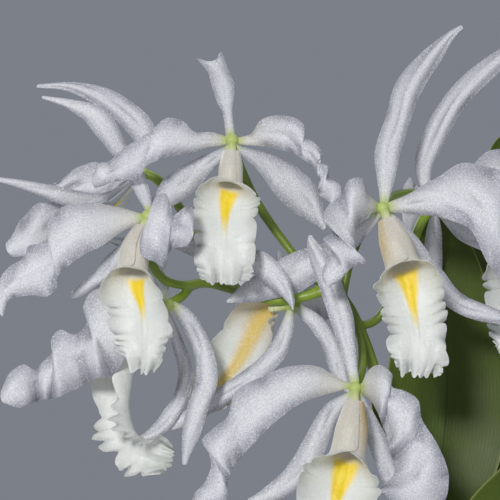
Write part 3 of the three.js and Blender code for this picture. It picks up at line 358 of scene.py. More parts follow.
            [142.5, 22.5, 131, -15, -39, -4], [147.5, 7.5, 141, -14, -36, -2], [148, -3, 146, -8, -34],
        ], wave=1.6),
        sepal([
            [63, 19, 65, 16, -32], [51, 11, 54, 2, -18], [37.5, 3.5, 40, -11, -4], [22.5, -1, 26, -20, 2],
            [7.5, -9, 11, -24.5, 3], [-4, -17.5, -1, -26.5, 3], [-11, -24.5, -10.5, -26.5, 2],
        ]),
        sepal([
            [67.5, 18, 70, 20, -32], [76, 2.5, 84, 6, -24], [87.5, -17.5, 96, -10, -18],
            [100, -29.5, 106, -22, -16], [115, -35.5, 120, -28, -15], [127.5, -37, 130, -33, -14],
        ]),
    ], "lip": {"frill": 2.6, "crisp": 2.7, "rows": [
        [69, 14, -36, 13, 172], [73, 3, -39, 23, 172], [77, -9, -42, 26, 172], [79.5, -17, -44, 25, 94],
        [81.5, -28, -46, 18, 52], [84, -42, -51, 14.5, 26], [84.5, -53, -53, 14.5, 12],
        [83.5, -60, -50, 11, 6],
    ]}},
    "far_right": {"hub": [91, 22, 14], "tepals": [
        sepal([
            [87.5, 26, 92, 26, 14], [82.5, 42.5, 90.5, 38, 16], [87, 60, 96, 51, 19],
            [97.5, 77.5, 107.5, 71.5, 23], [112.5, 92, 124, 88, 28], [127.5, 102, 135, 97.5, 33],
            [138, 107, 140, 105, 36],
        ]),
        petal([
            [89, 24, 89, 20, 17], [84, 32, 84, 12, 28], [80, 35, 80, 6, 42], [77, 32, 78, 5, 56],
            [76, 26, 77, 10, 68], [77, 20, 77, 15, 74],
        ], wave=0.6),
        petal([
            [94, 25, 94, 20, 16], [108, 40, 110, 18, 26], [124, 50, 130, 20, 34], [142, 50, 148, 18, 38],
            [158, 40, 158, 16, 38], [166, 27, 165, 20, 36],
        ]),
        sepal([
            [90, 18, 94, 18, 17], [88, 8, 96, 8, 28], [87, -6, 96, -6, 38], [88, -22, 95, -22, 44],
            [90, -34, 92, -34, 46],
        ]),
        sepal([
            [95, 16, 96, 21, 9], [105, 5, 110, 14, -3], [120, -2, 126, 7, -9], [138, -10, 142, -2, -11],
            [153, -17, 154, -14, -11],
        ]),
    ], "lip": {"face": [-0.2, -1, 0], "crisp": 2.2, "rows": [
        [99, 21, 15, 12, 172], [112, 17, 16, 18, 172], [125, 7, 18, 22, 165], [133, -4, 19, 24, 96],
        [137, -18, 18, 20, 52], [137, -34, 14, 18, 26], [134, -46, 12, 15, 12], [132, -52, 13, 10, 6],
    ]}},
    "far_left": {"hub": [-54, 39, 28], "tepals": [
        sepal([
            [-52, 42, -55.5, 41, 28], [-46, 55, -56, 50, 26], [-50, 66, -61, 59, 24],
            [-61, 75.5, -71, 68, 23], [-74, 81.5, -81, 74.5, 22], [-89, 84, -92, 79.5, 22],
            [-105, 83, -106, 81, 23],
        ]),
        sepal([
            [-55, 41, -57.5, 39, 27], [-61, 51, -67, 46, 17], [-67, 64, -76, 56, 13],
            [-76, 72, -84, 65.5, 12], [-90, 75.5, -93, 71.5, 12], [-103, 77, -103.5, 75.5, 13],
        ]),
        sepal([
            [-57, 37.5, -58, 35, 26], [-69, 30, -72, 24, 16], [-80, 28.5, -84, 20.5, 8],
            [-94, 31.5, -96, 23.5, 0], [-110, 34.5, -111, 29.5, -6], [-126, 36.5, -126, 34, -8],
        ]),
        petal([
            [-57, 36, -58, 33, 30], [-74, 27, -76, 14, 24], [-91, 25, -87.5, 6, 17],
            [-104, 24, -96, 2, 12], [-114, 15, -105, -2, 8], [-121, 5, -116, -3, 5],
        ]),
        petal([
            [-56, 41, -58, 37, 30], [-64, 44, -69, 29, 36], [-76, 44, -79, 23.5, 36],
            [-88, 40, -91, 25, 34], [-98, 33, -98, 27, 32],
        ]),
    ], "lip": {"face": [-0.2, 0.4, 1], "rows": [
        [-55, 35, 33, 8, 150], [-60, 30, 42, 13, 150], [-66, 25, 50, 17, 130], [-70, 21, 56, 18, 90],
        [-74, 16, 64, 17, 50], [-77, 10, 70, 14, 25], [-79, 4, 74, 8, 5],
    ]}},
}

# Each growth has a foot on the rhizome, the top of its bulb and one leaf, with rows as a tepal has.
GROWTHS = [
    {"foot": [78, 14], "top": [82, -166, 18], "leaf": [
        [81, -160, 87, -160, 23], [80, -148, 96, -148, 28], [68, -118, 120, -118, 38],
        [67, -80, 129, -80, 44], [71, -45, 126, -45, 46], [76, -10, 116, -10, 46], [84, 14, 104, 14, 45],
        [91, 26, 95, 26, 44],
    ]},
    {"foot": [58, 30], "top": [92, -182, 46], "leaf": [
        [91, -176, 97, -176, 50], [94, -160, 110, -164, 54], [104, -120, 146, -130, 62],
        [108, -75, 160, -80, 68], [108, -25, 160, -25, 72], [110, 20, 150, 22, 72],
        [120, 50, 134, 52, 70], [127, 58, 129, 58, 69],
    ]},
    {"foot": [42, 20], "top": [56, -206, 14], "leaf": [
        [53, -201, 59, -201, 12], [66, -186, 72, -200, 2], [92, -150, 112, -188, -10],
        [118, -116, 150, -160, -18], [150, -92, 178, -134, -22], [180, -82, 194, -108, -22],
        [196, -82, 198, -86, -20],
    ]},
    {"foot": [24, 10], "top": [14, -222, 0], "leaf": [
        [17, -217, 11, -217, -1], [-4, -206, 2, -216, -6], [-34, -176, -20, -212, -14],
        [-66, -158, -54, -204, -20], [-98, -154, -92, -200, -22], [-128, -166, -124, -196, -20],
        [-144, -182, -143, -186, -18],
    ]},
    {"foot": [8, 22], "top": [-6, -238, 34], "leaf": [
        [-9, -233, -3, -233, 36], [-26, -222, -2, -212, 44], [-44, -208, 0, -186, 58],
        [-58, -190, -8, -166, 76], [-66, -168, -20, -148, 94], [-66, -150, -34, -138, 108],
        [-57, -136, -52, -134, 116],
    ]},
]


def smooth(start, end, value):
    t = np.clip((value - start) / (end - start), 0, 1)
    return t * t * (3 - 2 * t)


def cycle(turns):
    return np.sin(2 * math.pi * turns)


def bell(distance, width):
    return np.exp(-((distance / width) ** 2))


def both(field):
    """A field of a sheet's grid for its front and then its back."""
    return np.tile(field.ravel(), 2)


def place(x, z, depth):
    """A point of the spray, drawn as seen from the front, in the row frame in metres."""
    widen = 1 + (depth / VIEWING_DISTANCE) * smooth(-270, -170, z)
    return np.stack([
        x * widen - POT_IN_SPRAY_X, depth - POT_IN_SPRAY_DEPTH + 0 * x, z * widen + SPRAY_HEIGHT,
    ], -1) * MM


def blend(rows, u):
    """A smooth run through rows of numbers, at u from 0 to 1."""
    rows = np.asarray(rows, float)
    u = np.asarray(u, float)
    last = len(rows) - 1
    at = np.clip(u, 0, 0.99999) * last
    i = np.floor(at).astype(int)
    t = (at - i)[..., None]
    p0, p1 = rows[np.maximum(i - 1, 0)], rows[i]
    p2, p3 = rows[i + 1], rows[np.minimum(i + 2, last)]
    return 0.5 * (
        2 * p1 + (p2 - p0) * t + (2 * p0 - 5 * p1 + 4 * p2 - p3) * t**2
        + (3 * p1 - p0 - 3 * p2 + p3) * t**3
    )


def unit(v):
    return v / np.maximum(np.linalg.norm(v, axis=-1, keepdims=True), 1e-12)


def grid(along, across):
    u = np.linspace(0, 1, along + 1)
    v = np.linspace(0, 1, across + 1)
    return np.meshgrid(u, v, indexing="ij")


def add_mesh(name, verts, faces, materials, face_materials=None, marks=None, sharp=50):
    mesh = bpy.data.meshes.new(name)
    mesh.from_pydata(np.asarray(verts, float).tolist(), [], [list(map(int, f)) for f in faces])
    for material in materials:
        mesh.materials.append(material)
    if face_materials is not None:
        mesh.polygons.foreach_set("material_index", np.asarray(face_materials, np.int32))
    for mark, values in (marks or {}).items():
        layer = mesh.attributes.new(mark, "FLOAT", "POINT")
        layer.data.foreach_set("value", np.asarray(values, np.float32).ravel())
    mesh.polygons.foreach_set("use_smooth", [True] * len(mesh.polygons))
    mesh.set_sharp_from_angle(angle=math.radians(sharp))
    mesh.update()
    obj = bpy.data.objects.new(name, mesh)
    bpy.context.scene.collection.objects.link(obj)
    return obj


def finish_piece(obj, slot, *nodes):
    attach(obj, "root")
    if nodes:
        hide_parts(*nodes)
    return obj


def blade(points, thickness):
    """A thin closed sheet round a grid of points: its vertices and faces."""
    du = np.gradient(points, axis=0)
    dv = np.gradient(points, axis=1)
    normal = unit(np.cross(du, dv))
    half = np.asarray(thickness)[..., None] * MM / 2
    rows, columns = points.shape[:2]
    verts = np.concatenate([
        (points + normal * half).reshape(-1, 3), (points - normal * half).reshape(-1, 3),
    ])
    under = rows * columns
    number = np.arange(under).reshape(rows, columns)
    a, b, c, d = number[:-1, :-1], number[1:, :-1], number[1:, 1:], number[:-1, 1:]
    top = np.stack([a, b, c, d], -1).reshape(-1, 4)
    bottom = np.stack([a, d, c, b], -1).reshape(-1, 4) + under
    rim = np.concatenate([
        number[:, 0], number[-1, 1:], number[::-1, -1][1:], number[0, ::-1][1:-1],
    ])
    after = np.roll(rim, -1)
    side = np.stack([rim, rim + under, after + under, after], -1)
    return verts, np.concatenate([top, bottom, side])


def shade_in_hollows(points, reach, deep):
    """How far a sheet dips below its surroundings, 0 to 1, for its front and then its back, as the mask
    of the shade painted into its hollows.
    """
    soft = points
    for axis in (0, 1):
        total = np.zeros_like(soft)
        count = soft.shape[axis]
        for step in range(-reach, reach + 1):
            total += np.take(soft, np.clip(np.arange(count) + step, 0, count - 1), axis=axis)
        soft = total / (2 * reach + 1)
    normal = unit(np.cross(np.gradient(points, axis=0), np.gradient(points, axis=1)))
    height = ((points - soft) * normal).sum(-1).ravel() / MM
    return np.concatenate([smooth(0, deep, -height), smooth(0, deep, height)])


def tube(points, radii, sides, shape=None):
    """A closed round body along points: radii one for each ring, shape(u, angle) scales them."""
    points = np.asarray(points)
    tangent = unit(np.gradient(points, axis=0))
    guide = np.array([1.0, 0, 0]) if abs(tangent[0][1]) > 0.9 else np.array([0, 1.0, 0])
    side = np.cross(guide, tangent[0])
    angle = np.linspace(0, 2 * math.pi, sides, endpoint=False)
    verts = []
    rings = len(points)
    for i in range(rings):
        side = unit(side - tangent[i] * side.dot(tangent[i]))
        front = np.cross(tangent[i], side)
        radius = radii[i] * MM * (shape(i / (rings - 1), angle) if shape else np.ones(sides))
        ring = np.cos(angle)[:, None] * side + np.sin(angle)[:, None] * front
        verts.append(points[i] + ring * radius[:, None])
    verts = np.concatenate(verts + [points[:1], points[-1:]])
    number = np.arange(rings * sides).reshape(rings, sides)
    after = np.roll(number, -1, axis=1)
    a, b, c, d = number[:-1], after[:-1], after[1:], number[1:]
    faces = np.stack([a, b, c, d], -1).reshape(-1, 4).tolist()
    foot, head = rings * sides, rings * sides + 1
    faces += [[foot, after[0][k], number[0][k]] for k in range(sides)]
    faces += [[head, number[-1][k], after[-1][k]] for k in range(sides)]
    return verts, faces


def limb(rows, rings, sides, shape=None, swell=None):
    u = np.linspace(0, 1, rings + 1)
    r = blend(rows, u)
    radii = r[:, 3] if swell is None else r[:, 3] * swell(u)
    return tube(place(r[:, 0], r[:, 1], r[:, 2]), radii, sides, shape)


def merged(parts):
    """Several (vertices, faces) as one, with how many vertices each part has."""
    verts, faces, counts, start = [], [], [], 0
    for v, f in parts:
        verts.append(v)
        faces += [[int(k) + start for k in face] for face in f]
        start += len(v)
        counts.append(len(v))
    return np.concatenate(verts), faces, counts


def applied(obj):
    """Gives a piece the mesh that its modifiers make."""
    depsgraph = bpy.context.evaluated_depsgraph_get()
    done = bpy.data.meshes.new_from_object(obj.evaluated_get(depsgraph))
    obj.modifiers.clear()
    obj.data = done
    return done


def folds(u, across, seed):
    """Soft creases that run over a blade, of about one unit high."""
    random = np.random.default_rng(100 + int(seed * 10))
    height = 0
    for k in range(6):
        f, g = random.uniform(1.2, 4.5), random.uniform(-1.1, 1.1)
        height = height + np.sin(2 * math.pi * (f * u + g * across) + random.uniform(0, 6.28)) / (1 + f)
    return height


def tepal_surface(hub, tepal, u, v, seed=0):
    """The middle sheet of a sepal, petal or leaf, from u 0 at its foot to 1 at its tip."""
    first = tepal["rows"][0]
    base = [
        hub[0] + 0.3 * (first[0] - first[2]), hub[1] + 0.3 * (first[1] - first[3]),
        hub[0] - 0.3 * (first[0] - first[2]), hub[1] - 0.3 * (first[1] - first[3]), hub[2], 0,
    ]
    rows = [base] + [row + [0] * (len(base) - len(row)) for row in tepal["rows"]]
    ax, az, bx, bz, depth, lean = np.moveaxis(blend(rows, u), -1, 0)
    width = np.hypot(bx - ax, bz - az)
    across = 2 * v - 1
    side = np.sign(across)
    edge = np.abs(across) ** 1.6
    cup = tepal["cup"] * width * (1 - across**2)
    start = smooth(0.12, 0.4, u)
    turn = tepal["waves"] * u + tepal["phase"] + np.where(v > 0.5, 0.4, 0)
    wave = tepal["wave"] * edge * start * cycle(turn)
    crimps = tepal["crimps"]
    ripple = cycle(crimps * u + 0.37 * side + seed * 0.61)
    ripple += 0.6 * cycle(1.7 * crimps * u + 0.23 * side + seed * 0.29)
    fine = tepal["fine"] * np.abs(across) ** 4 * start * ripple
    vein = 0.14 * bell(across, 0.11) * smooth(0, 0.15, u) * (1 - smooth(0.8, 1, u))
    crumple = tepal["crumple"] * start * folds(u, across, seed)
    y = depth + lean * across / 2 + cup * smooth(0, 0.2, u) + wave + fine + vein + crumple
    beat = tepal["lobes"] * u + 0.31 * side + seed * 0.17
    lobe = cycle(beat) + 0.55 * cycle(2.3 * beat + 0.4 * side)
    w = 0.5 + (v - 0.5) * (1 + tepal["lobe"] * np.abs(across) * start * lobe)
    x, z = ax + (bx - ax) * w, az + (bz - az) * w
    ahead = blend(rows, np.full_like(u, 0.999))
    behind = blend(rows, np.full_like(u, 0.96))
    dx = (ahead[..., 0] + ahead[..., 2] - behind[..., 0] - behind[..., 2]) / 2
    dz = (ahead[..., 1] + ahead[..., 3] - behind[..., 1] - behind[..., 3]) / 2
    dy = ahead[..., 4] - behind[..., 4]
    reach = np.sqrt(dx**2 + dy**2 + dz**2) + 1e-9
    end_width = np.hypot(rows[-1][2] - rows[-1][0], rows[-1][3] - rows[-1][1])
    dome = np.sqrt(np.maximum(1 - across**2, 0))
    notch = 0.5 + 0.5 * np.cos(math.pi * across)
    tip = end_width * smooth(0.86, 1, u) ** 2 * tepal["round"] * (dome if tepal["round"] > 0 else notch)
    return place(x + tip * dx / reach, z + tip * dz / reach, y + tip * dy / reach)


def lip_frame(lip, u):
    """The middle line of a lip, with its direction, its front and its side."""
    def at(w):
        return blend(lip["rows"], w)[..., [0, 2, 1]]

    tangent = unit(at(np.minimum(u + 0.01, 1)) - at(np.maximum(u - 0.01, 0)))
    face = np.array(lip["face"], float)
    front = unit(face - tangent * (tangent @ face)[..., None])
    return at(u), tangent, front, np.cross(tangent, front)


def lip_surface(lip, u, v, seed=0):
    """The middle sheet of a lip or a sheath: a rolled tube that opens into a ruffled blade."""
    crisp, shut = lip.get("crisp", 0), lip.get("shut", 0)
    centre, tangent, front, side = lip_frame(lip, u)
    r = blend(lip["rows"], u)
    half, roll = r[..., 3], np.maximum(r[..., 4], 2)
    across = 2 * v - 1
    edge = np.abs(across)
    flip = np.sign(across)
    closed = (1 - smooth(0.28, 0.42, u)) * shut
    angle = np.radians(roll + 30 * closed)
    radius = half / np.radians(roll) * (1 + 0.045 * across * closed)
    open_ = smooth(0.3, 0.6, u)
    tip = smooth(0.72, 1, u)
    sides = edge**3 * cycle(lip["waves"] * u) * (1 - tip)
    mouth = tip * np.cos(2 * math.pi * 2.5 * v)
    frill = lip["frill"] * open_ * (sides + mouth)
    grown = smooth(0.34, 0.5, u)
    drift = 0.22 * cycle(1.9 * u + seed) + 0.12 * cycle(4.3 * u - seed)
    loops = 2 * math.pi * (RUFFLES * u + 0.31 * flip + RUFFLE_DRIFT * drift + 0.1 * flip * np.sin(9 * u))
    swing = 1 + 0.35 * cycle(2.7 * u + 0.37 * flip + seed)
    swing = swing + 0.3 * cycle(6.1 * u - 0.23 * flip + 2 * seed)
    ruffle = edge**4 * (1 - 0.6 * tip) * swing * grown
    curl = 0.5 * smooth(0.62, 0.78, u) * edge**5 * np.sin(1.9 * loops + 1.3)
    crimp = ruffle * (np.sin(loops) + curl + 0.16 * edge**6 * np.sin(2.7 * loops + seed))
    hem = 2 * math.pi * (4.2 * v + 0.2 * cycle(1.3 * v + seed))
    low = smooth(0.84, 1, u) * (1 - edge**6)
    crimp = crimp + low * (np.sin(hem) + 0.25 * np.sin(2.7 * hem + seed))
    scallop = 1.7 * np.abs(np.sin(loops / 2 + 0.4)) ** 0.6 - 1.2 + 0.3 * np.sin(0.37 * loops + seed)
    pleat = edge**1.6 * 0.15 * grown * np.sin(2 * loops + 1)
    soft = 0.35 * grown * folds(u, across, seed)
    keel = 0.45 * bell(across, 0.06) + 0.15 * bell(edge - 0.15, 0.06)
    keel = keel * smooth(0.3, 0.42, u) * (1 - smooth(0.7, 0.86, u))
    collar = bell(u - 0.37, 0.05) * edge**2.5 * shut
    out = radius * (1 - np.cos(angle * across)) + frill
    out = out - 0.6 * collar + crisp * crimp + (crisp > 0) * (keel + 1.5 * pleat + 1.5 * soft)
    reach = radius * np.sin(angle * across)
    reach = reach + crisp * flip * edge * 0.85 * ruffle * scallop
    ahead = lip["round"] * tip * (1 - across**2) - 2.6 * collar
    ahead = ahead + 0.4 * crisp * low * (2 * np.abs(np.sin(hem)) ** 0.7 - 1)
    point = centre + side * reach[..., None] + front * out[..., None] + tangent * ahead[..., None]
    return place(point[..., 0], point[..., 2], point[..., 1])


# Materials

# The colour sockets of a Mix node, by their numbers.
COLOUR_A, COLOUR_B, COLOUR_OUT = 6, 7, 2


class Finish:
    """A material under construction: its calls add nodes, and ground and tint lay on its colour."""

    def __init__(self, name, **sockets):
        self.material = bpy.data.materials.new(name)
        self.material.use_nodes = True
        self.tree = self.material.node_tree
        self.shader = self.tree.nodes["Principled BSDF"]
        for socket, value in sockets.items():
            self.shader.inputs[socket.replace("_", " ")].default_value = value
        self.position = self.node("ShaderNodeTexCoord").outputs["Object"]

    def node(self, kind, **settings):
        made = self.tree.nodes.new(kind)
        for key, value in settings.items():
            setattr(made, key, value)
        return made

    def put(self, socket, value):
        if isinstance(value, bpy.types.NodeSocket):
            self.tree.links.new(value, socket)
        else:
            socket.default_value = value

    def mark(self, name):
        return self.node("ShaderNodeAttribute", attribute_name=name).outputs["Fac"]

    def math(self, operation, a, b=0.0, c=0.0):
        made = self.node("ShaderNodeMath", operation=operation)
        for socket, value in zip(made.inputs, (a, b, c)):
            self.put(socket, value)
        return made.outputs[0]

    def spread(self, value, low, high, to_low=0.0, to_high=1.0):
        made = self.node("ShaderNodeMapRange", interpolation_type="SMOOTHSTEP")
        for socket, number in zip(made.inputs, (value, low, high, to_low, to_high)):
            self.put(socket, number)
        return made.outputs[0]

    def noise(self, scale, detail=2.0, rough=0.5, stretch=(1, 1, 1)):
        where = self.node("ShaderNodeMapping")
        self.put(where.inputs["Vector"], self.position)
        where.inputs["Scale"].default_value = stretch
        made = self.node("ShaderNodeTexNoise")
        self.put(made.inputs["Vector"], where.outputs[0])
        made.inputs["Scale"].default_value = scale
        made.inputs["Detail"].default_value = detail
        made.inputs["Roughness"].default_value = rough
        return made.outputs["Fac"]

    def cells(self, scale):
        made = self.node("ShaderNodeTexVoronoi")
        self.put(made.inputs["Vector"], self.position)
        made.inputs["Scale"].default_value = scale
        return made.outputs["Distance"]

    def mix(self, amount, a, b):
        made = self.node("ShaderNodeMix", data_type="RGBA")
        self.put(made.inputs["Factor"], amount)
        self.put(made.inputs[COLOUR_A], a)
        self.put(made.inputs[COLOUR_B], b)
        return made.outputs[COLOUR_OUT]

    def times(self, value, factor):
        return self.math("MULTIPLY", value, factor)

    def ground(self, colour):
        self.body = colour
        self.put(self.shader.inputs["Base Color"], colour)

    def tint(self, amount, colour):
        """Lays a colour over the ones before it."""
        self.ground(self.mix(amount, self.body, colour))

    def rough(self, value):
        self.put(self.shader.inputs["Roughness"], value)

    def bump(self, height, distance, under=None, strength=1.0):
        made = self.node("ShaderNodeBump")
        made.inputs["Distance"].default_value = distance
        made.inputs["Strength"].default_value = strength
        self.put(made.inputs["Height"], height)
        if under is not None:
            self.put(made.inputs["Normal"], under)
        return made.outputs[0]

    def relief(self, normal):
        self.put(self.shader.inputs["Normal"], normal)


def rgb(red, green, blue):
    """A colour given as it looks on screen, from 0 to 255."""
    def linear(c):
        c /= 255
        return c / 12.92 if c <= 0.04045 else ((c + 0.055) / 1.055) ** 2.4

    return (linear(red), linear(green), linear(blue), 1)


def tepal_finish():
    f = Finish("tepal", Specular_IOR_Level=0.4, Subsurface_Weight=0.06,
               Subsurface_Scale=0.004)
    f.shader.inputs["Subsurface Radius"].default_value = (1.0, 0.75, 0.6)
    across, along = f.mark("across"), f.mark("along")
    grain = f.noise(1500, 2, 0.6)
    patch = f.noise(70, 3, 0.5)
    streak = f.noise(9, 2, 0.5)
    lines = f.math("SINE", f.math("MULTIPLY_ADD", across, 40.0, f.times(streak, 9.0)))
    vein = f.spread(lines, 0.45, 1.0)
    f.ground(f.mix(patch, rgb(236, 237, 243), rgb(218, 220, 228)))
    # Painted shade: a tepal is painted greyer towards its edges, where it turns away from the light.
    painted_edge_shade = f.spread(f.math("ABSOLUTE", across), 0.2, 1.0, 0, 0.9)
    f.tint(painted_edge_shade, rgb(163, 164, 177))
    # Painted shade: the tepal's hollows and creases are painted darker.
    f.tint(f.times(f.mark("hollow_shade"), 0.6), rgb(124, 125, 138))
    f.tint(f.times(vein, 0.1), rgb(176, 176, 192))
    f.tint(f.spread(grain, 0.36, 0.5, 0.3, 0), rgb(160, 160, 170))
    # Painted highlight: pale speckles over the grain stand in for the glints of the sparkling cells.
    f.tint(f.spread(grain, 0.52, 0.66, 0, 0.6), rgb(248, 248, 251))
    warm = f.spread(along, 0.0, 0.3, 0.55, 0)
    f.tint(warm, rgb(226, 218, 196))
    f.tint(f.mark("green"), rgb(184, 200, 112))
    f.rough(f.spread(grain, 0.3, 0.75, 0.55, 0.3))
    low = f.bump(f.noise(300, 3, 0.6), 0.0003, None, 0.5)
    mid = f.bump(f.cells(1150), 0.0003, low, 0.8)
    f.relief(f.bump(grain, 0.0003, mid, 0.8))
    return f.material


def lip_finish():
    f = Finish("lip", Specular_IOR_Level=0.45, Subsurface_Weight=0.12,
               Subsurface_Scale=0.004, Sheen_Weight=0.1, Sheen_Roughness=0.4)
    f.shader.inputs["Subsurface Radius"].default_value = (1.0, 0.85, 0.55)
    across = f.mark("across")
    grain = f.noise(1500, 2, 0.6)
    patch = f.noise(90, 3, 0.5)
    lines = f.math("SINE", f.math("MULTIPLY_ADD", across, 34.0, f.times(patch, 4.0)))
    vein = f.spread(lines, 0.5, 1.0)
    f.ground(f.mix(patch, rgb(242, 245, 241), rgb(222, 226, 222)))
    f.tint(f.times(vein, 0.07), rgb(205, 208, 196))
    # Painted shade: the lip is painted greyer towards its ruffled margin.
    edge = f.spread(f.math("ABSOLUTE", across), 0.55, 1.0, 0, 0.5)
    f.tint(edge, rgb(196, 199, 197))
    # Painted shade: the lip's hollows and ruffle valleys are painted darker.
    f.tint(f.times(f.mark("hollow_shade"), 0.45), rgb(148, 151, 148))
    # Painted shade: the tube, up to where the blade opens, is painted darker.
    f.tint(f.spread(f.mark("along"), 0.3, 0.42, 0.5, 0), rgb(202, 197, 186))
    f.tint(f.mark("warm"), rgb(226, 210, 182))
    # The amber mark holds an amber patch on a throat's flank and, on the low middle lip, the shade
    # painted on its yellow stripe.
    f.tint(f.mark("amber_and_shade"), rgb(204, 168, 74))
    # Painted highlight: pale speckles over the grain stand in for glints on the lip.
    f.tint(f.spread(grain, 0.45, 0.72, 0, 0.4), rgb(252, 253, 252))
    yellow = f.mix(patch, rgb(252, 226, 60), rgb(246, 206, 34))
    f.tint(f.mark("yellow"), yellow)
    f.rough(f.spread(grain, 0.3, 0.75, 0.5, 0.28))
    mid = f.bump(f.noise(330, 4, 0.65), 0.0006, None, 0.8)
    f.relief(f.bump(grain, 0.00022, mid, 0.6))
    return f.material


def column_finish():
    f = Finish("column", Specular_IOR_Level=0.5)
    grain = f.noise(900, 2)
    f.ground(f.mix(grain, rgb(228, 230, 196), rgb(205, 212, 150)))
    f.tint(f.mark("green"), rgb(176, 198, 92))
    f.rough(f.spread(grain, 0.3, 0.7, 0.5, 0.35))
    f.relief(f.bump(grain, 0.0002))
    return f.material


def stem_finish():
    f = Finish("stem", Specular_IOR_Level=0.55, Coat_Weight=0.25, Coat_Roughness=0.3)
    patch = f.noise(60, 3)
    grain = f.noise(1300, 2)
    fibre = f.noise(420, 3, 0.6, (1, 1, 0.12))
    f.ground(f.mix(patch, rgb(86, 108, 20), rgb(122, 142, 38)))
    f.tint(f.spread(fibre, 0.5, 0.8, 0, 0.5), rgb(70, 90, 18))
    f.tint(f.times(f.mark("green"), 0.8), rgb(140, 170, 44))
    f.rough(f.spread(grain, 0.3, 0.7, 0.5, 0.33))
    f.relief(f.bump(grain, 0.00015, f.bump(fibre, 0.0003)))
    return f.material


def leaf_finish():
    f = Finish("leaf", Specular_IOR_Level=0.3, Coat_Weight=0.05, Coat_Roughness=0.35)
    across, along = f.mark("across"), f.mark("along")
    patch = f.noise(28, 4, 0.55)
    fleck = f.noise(260, 3, 0.6)
    wander = f.times(f.noise(14, 2), 1.2)
    lines = f.math("SINE", f.math("MULTIPLY_ADD", across, 110.0, wander))
    vein = f.spread(lines, 0.2, 1.0)
    f.ground(f.mix(patch, rgb(60, 76, 14), rgb(78, 96, 22)))
    f.tint(f.spread(fleck, 0.5, 0.75, 0, 0.2), rgb(92, 108, 34))
    band = f.spread(f.math("ABSOLUTE", f.math("ADD", across, 0.16)), 0.0, 0.26, 0.75, 0)
    f.tint(band, rgb(88, 110, 44))
    rib = f.spread(f.math("ABSOLUTE", across), 0.0, 0.035, 1, 0)
    f.tint(rib, rgb(60, 76, 28))
    margin = f.spread(f.math("ABSOLUTE", across), 0.955, 1.0)
    f.tint(f.times(margin, 0.7), rgb(142, 150, 84))
    tip = f.spread(along, 0.93, 1.0, 0, 0.45)
    f.tint(tip, rgb(128, 112, 58))
    f.tint(f.times(vein, 0.06), rgb(36, 48, 16))
    f.rough(f.spread(patch, 0.3, 0.7, 0.42, 0.56))
    fine = f.bump(f.noise(1400, 2), 0.00012)
    f.relief(f.bump(f.times(vein, -1.0), 0.00004, fine))
    return f.material


def bulb_finish():
    f = Finish("bulb", Specular_IOR_Level=0.5, Coat_Weight=0.12, Coat_Roughness=0.4)
    patch = f.noise(40, 4, 0.55)
    fibre = f.noise(260, 4, 0.6, (1, 1, 0.08))
    f.ground(f.mix(patch, rgb(96, 112, 48), rgb(146, 152, 78)))
    f.tint(f.spread(fibre, 0.5, 0.78, 0, 0.5), rgb(82, 94, 40))
    f.tint(f.mark("ring"), rgb(170, 156, 104))
    f.rough(f.spread(patch, 0.3, 0.7, 0.42, 0.6))
    f.relief(f.bump(fibre, 0.0004, f.bump(f.noise(1200, 2), 0.00015)))
    return f.material


def paper_finish():
    f = Finish("dry_sheath", Specular_IOR_Level=0.35, Sheen_Weight=0.2)
    patch = f.noise(50, 4, 0.6)
    fibre = f.noise(500, 4, 0.65, (1, 1, 0.05))
    f.ground(f.mix(patch, rgb(206, 192, 156), rgb(160, 138, 98)))
    f.tint(f.spread(fibre, 0.48, 0.72, 0, 0.6), rgb(226, 216, 190))
    f.tint(f.spread(patch, 0.6, 0.8, 0, 0.6), rgb(112, 88, 56))
    f.rough(f.spread(fibre, 0.3, 0.7, 0.65, 0.85))
    f.relief(f.bump(fibre, 0.0006))
    return f.material


def spathe_finish():
    f = Finish("green_sheath", Specular_IOR_Level=0.45, Sheen_Weight=0.1)
    patch = f.noise(45, 3)
    fibre = f.noise(520, 3, 0.6, (1, 1, 0.06))
    f.ground(f.mix(patch, rgb(134, 146, 76), rgb(166, 168, 98)))
    f.tint(f.spread(fibre, 0.48, 0.75, 0, 0.5), rgb(112, 124, 58))
    edge = f.spread(f.math("ABSOLUTE", f.mark("across")), 0.86, 1.0)
    f.tint(f.times(edge, 0.8), rgb(190, 172, 120))
    f.tint(f.spread(f.mark("along"), 0.82, 1.0, 0, 0.8), rgb(176, 148, 96))
    f.rough(f.spread(fibre, 0.3, 0.7, 0.45, 0.65))
    f.relief(f.bump(fibre, 0.0004))
    return f.material


def rhizome_finish():
    f = Finish("rhizome", Specular_IOR_Level=0.4)
    patch = f.noise(80, 4, 0.6)
    grain = f.noise(900, 3, 0.6)
    root = f.mix(patch, rgb(196, 196, 180), rgb(160, 164, 144))
    f.ground(f.mix(patch, rgb(134, 130, 78), rgb(104, 92, 52)))
    f.tint(f.mark("root"), root)
    f.tint(f.spread(grain, 0.5, 0.75, 0, 0.35), rgb(92, 78, 52))
    f.rough(f.spread(grain, 0.3, 0.7, 0.6, 0.85))
    f.relief(f.bump(grain, 0.0004, f.bump(patch, 0.0008)))
    return f.material


def bark_finish():
    f = Finish("bark", Specular_IOR_Level=0.3)
    tone = f.mark("tone")
    layer = f.noise(220, 4, 0.65, (1, 1, 2.6))
    crack = f.cells(170)
    f.ground(f.mix(tone, rgb(84, 56, 38), rgb(142, 102, 70)))
    f.tint(f.spread(layer, 0.42, 0.7, 0, 0.75), rgb(58, 38, 26))
    f.tint(f.spread(f.noise(900, 3), 0.55, 0.75, 0, 0.35), rgb(172, 140, 104))
    f.rough(f.spread(layer, 0.3, 0.7, 0.8, 0.95))
    deep = f.bump(layer, 0.0018)
    f.relief(f.bump(f.noise(1100, 3), 0.0005, f.bump(crack, 0.001, deep)))
    return f.material


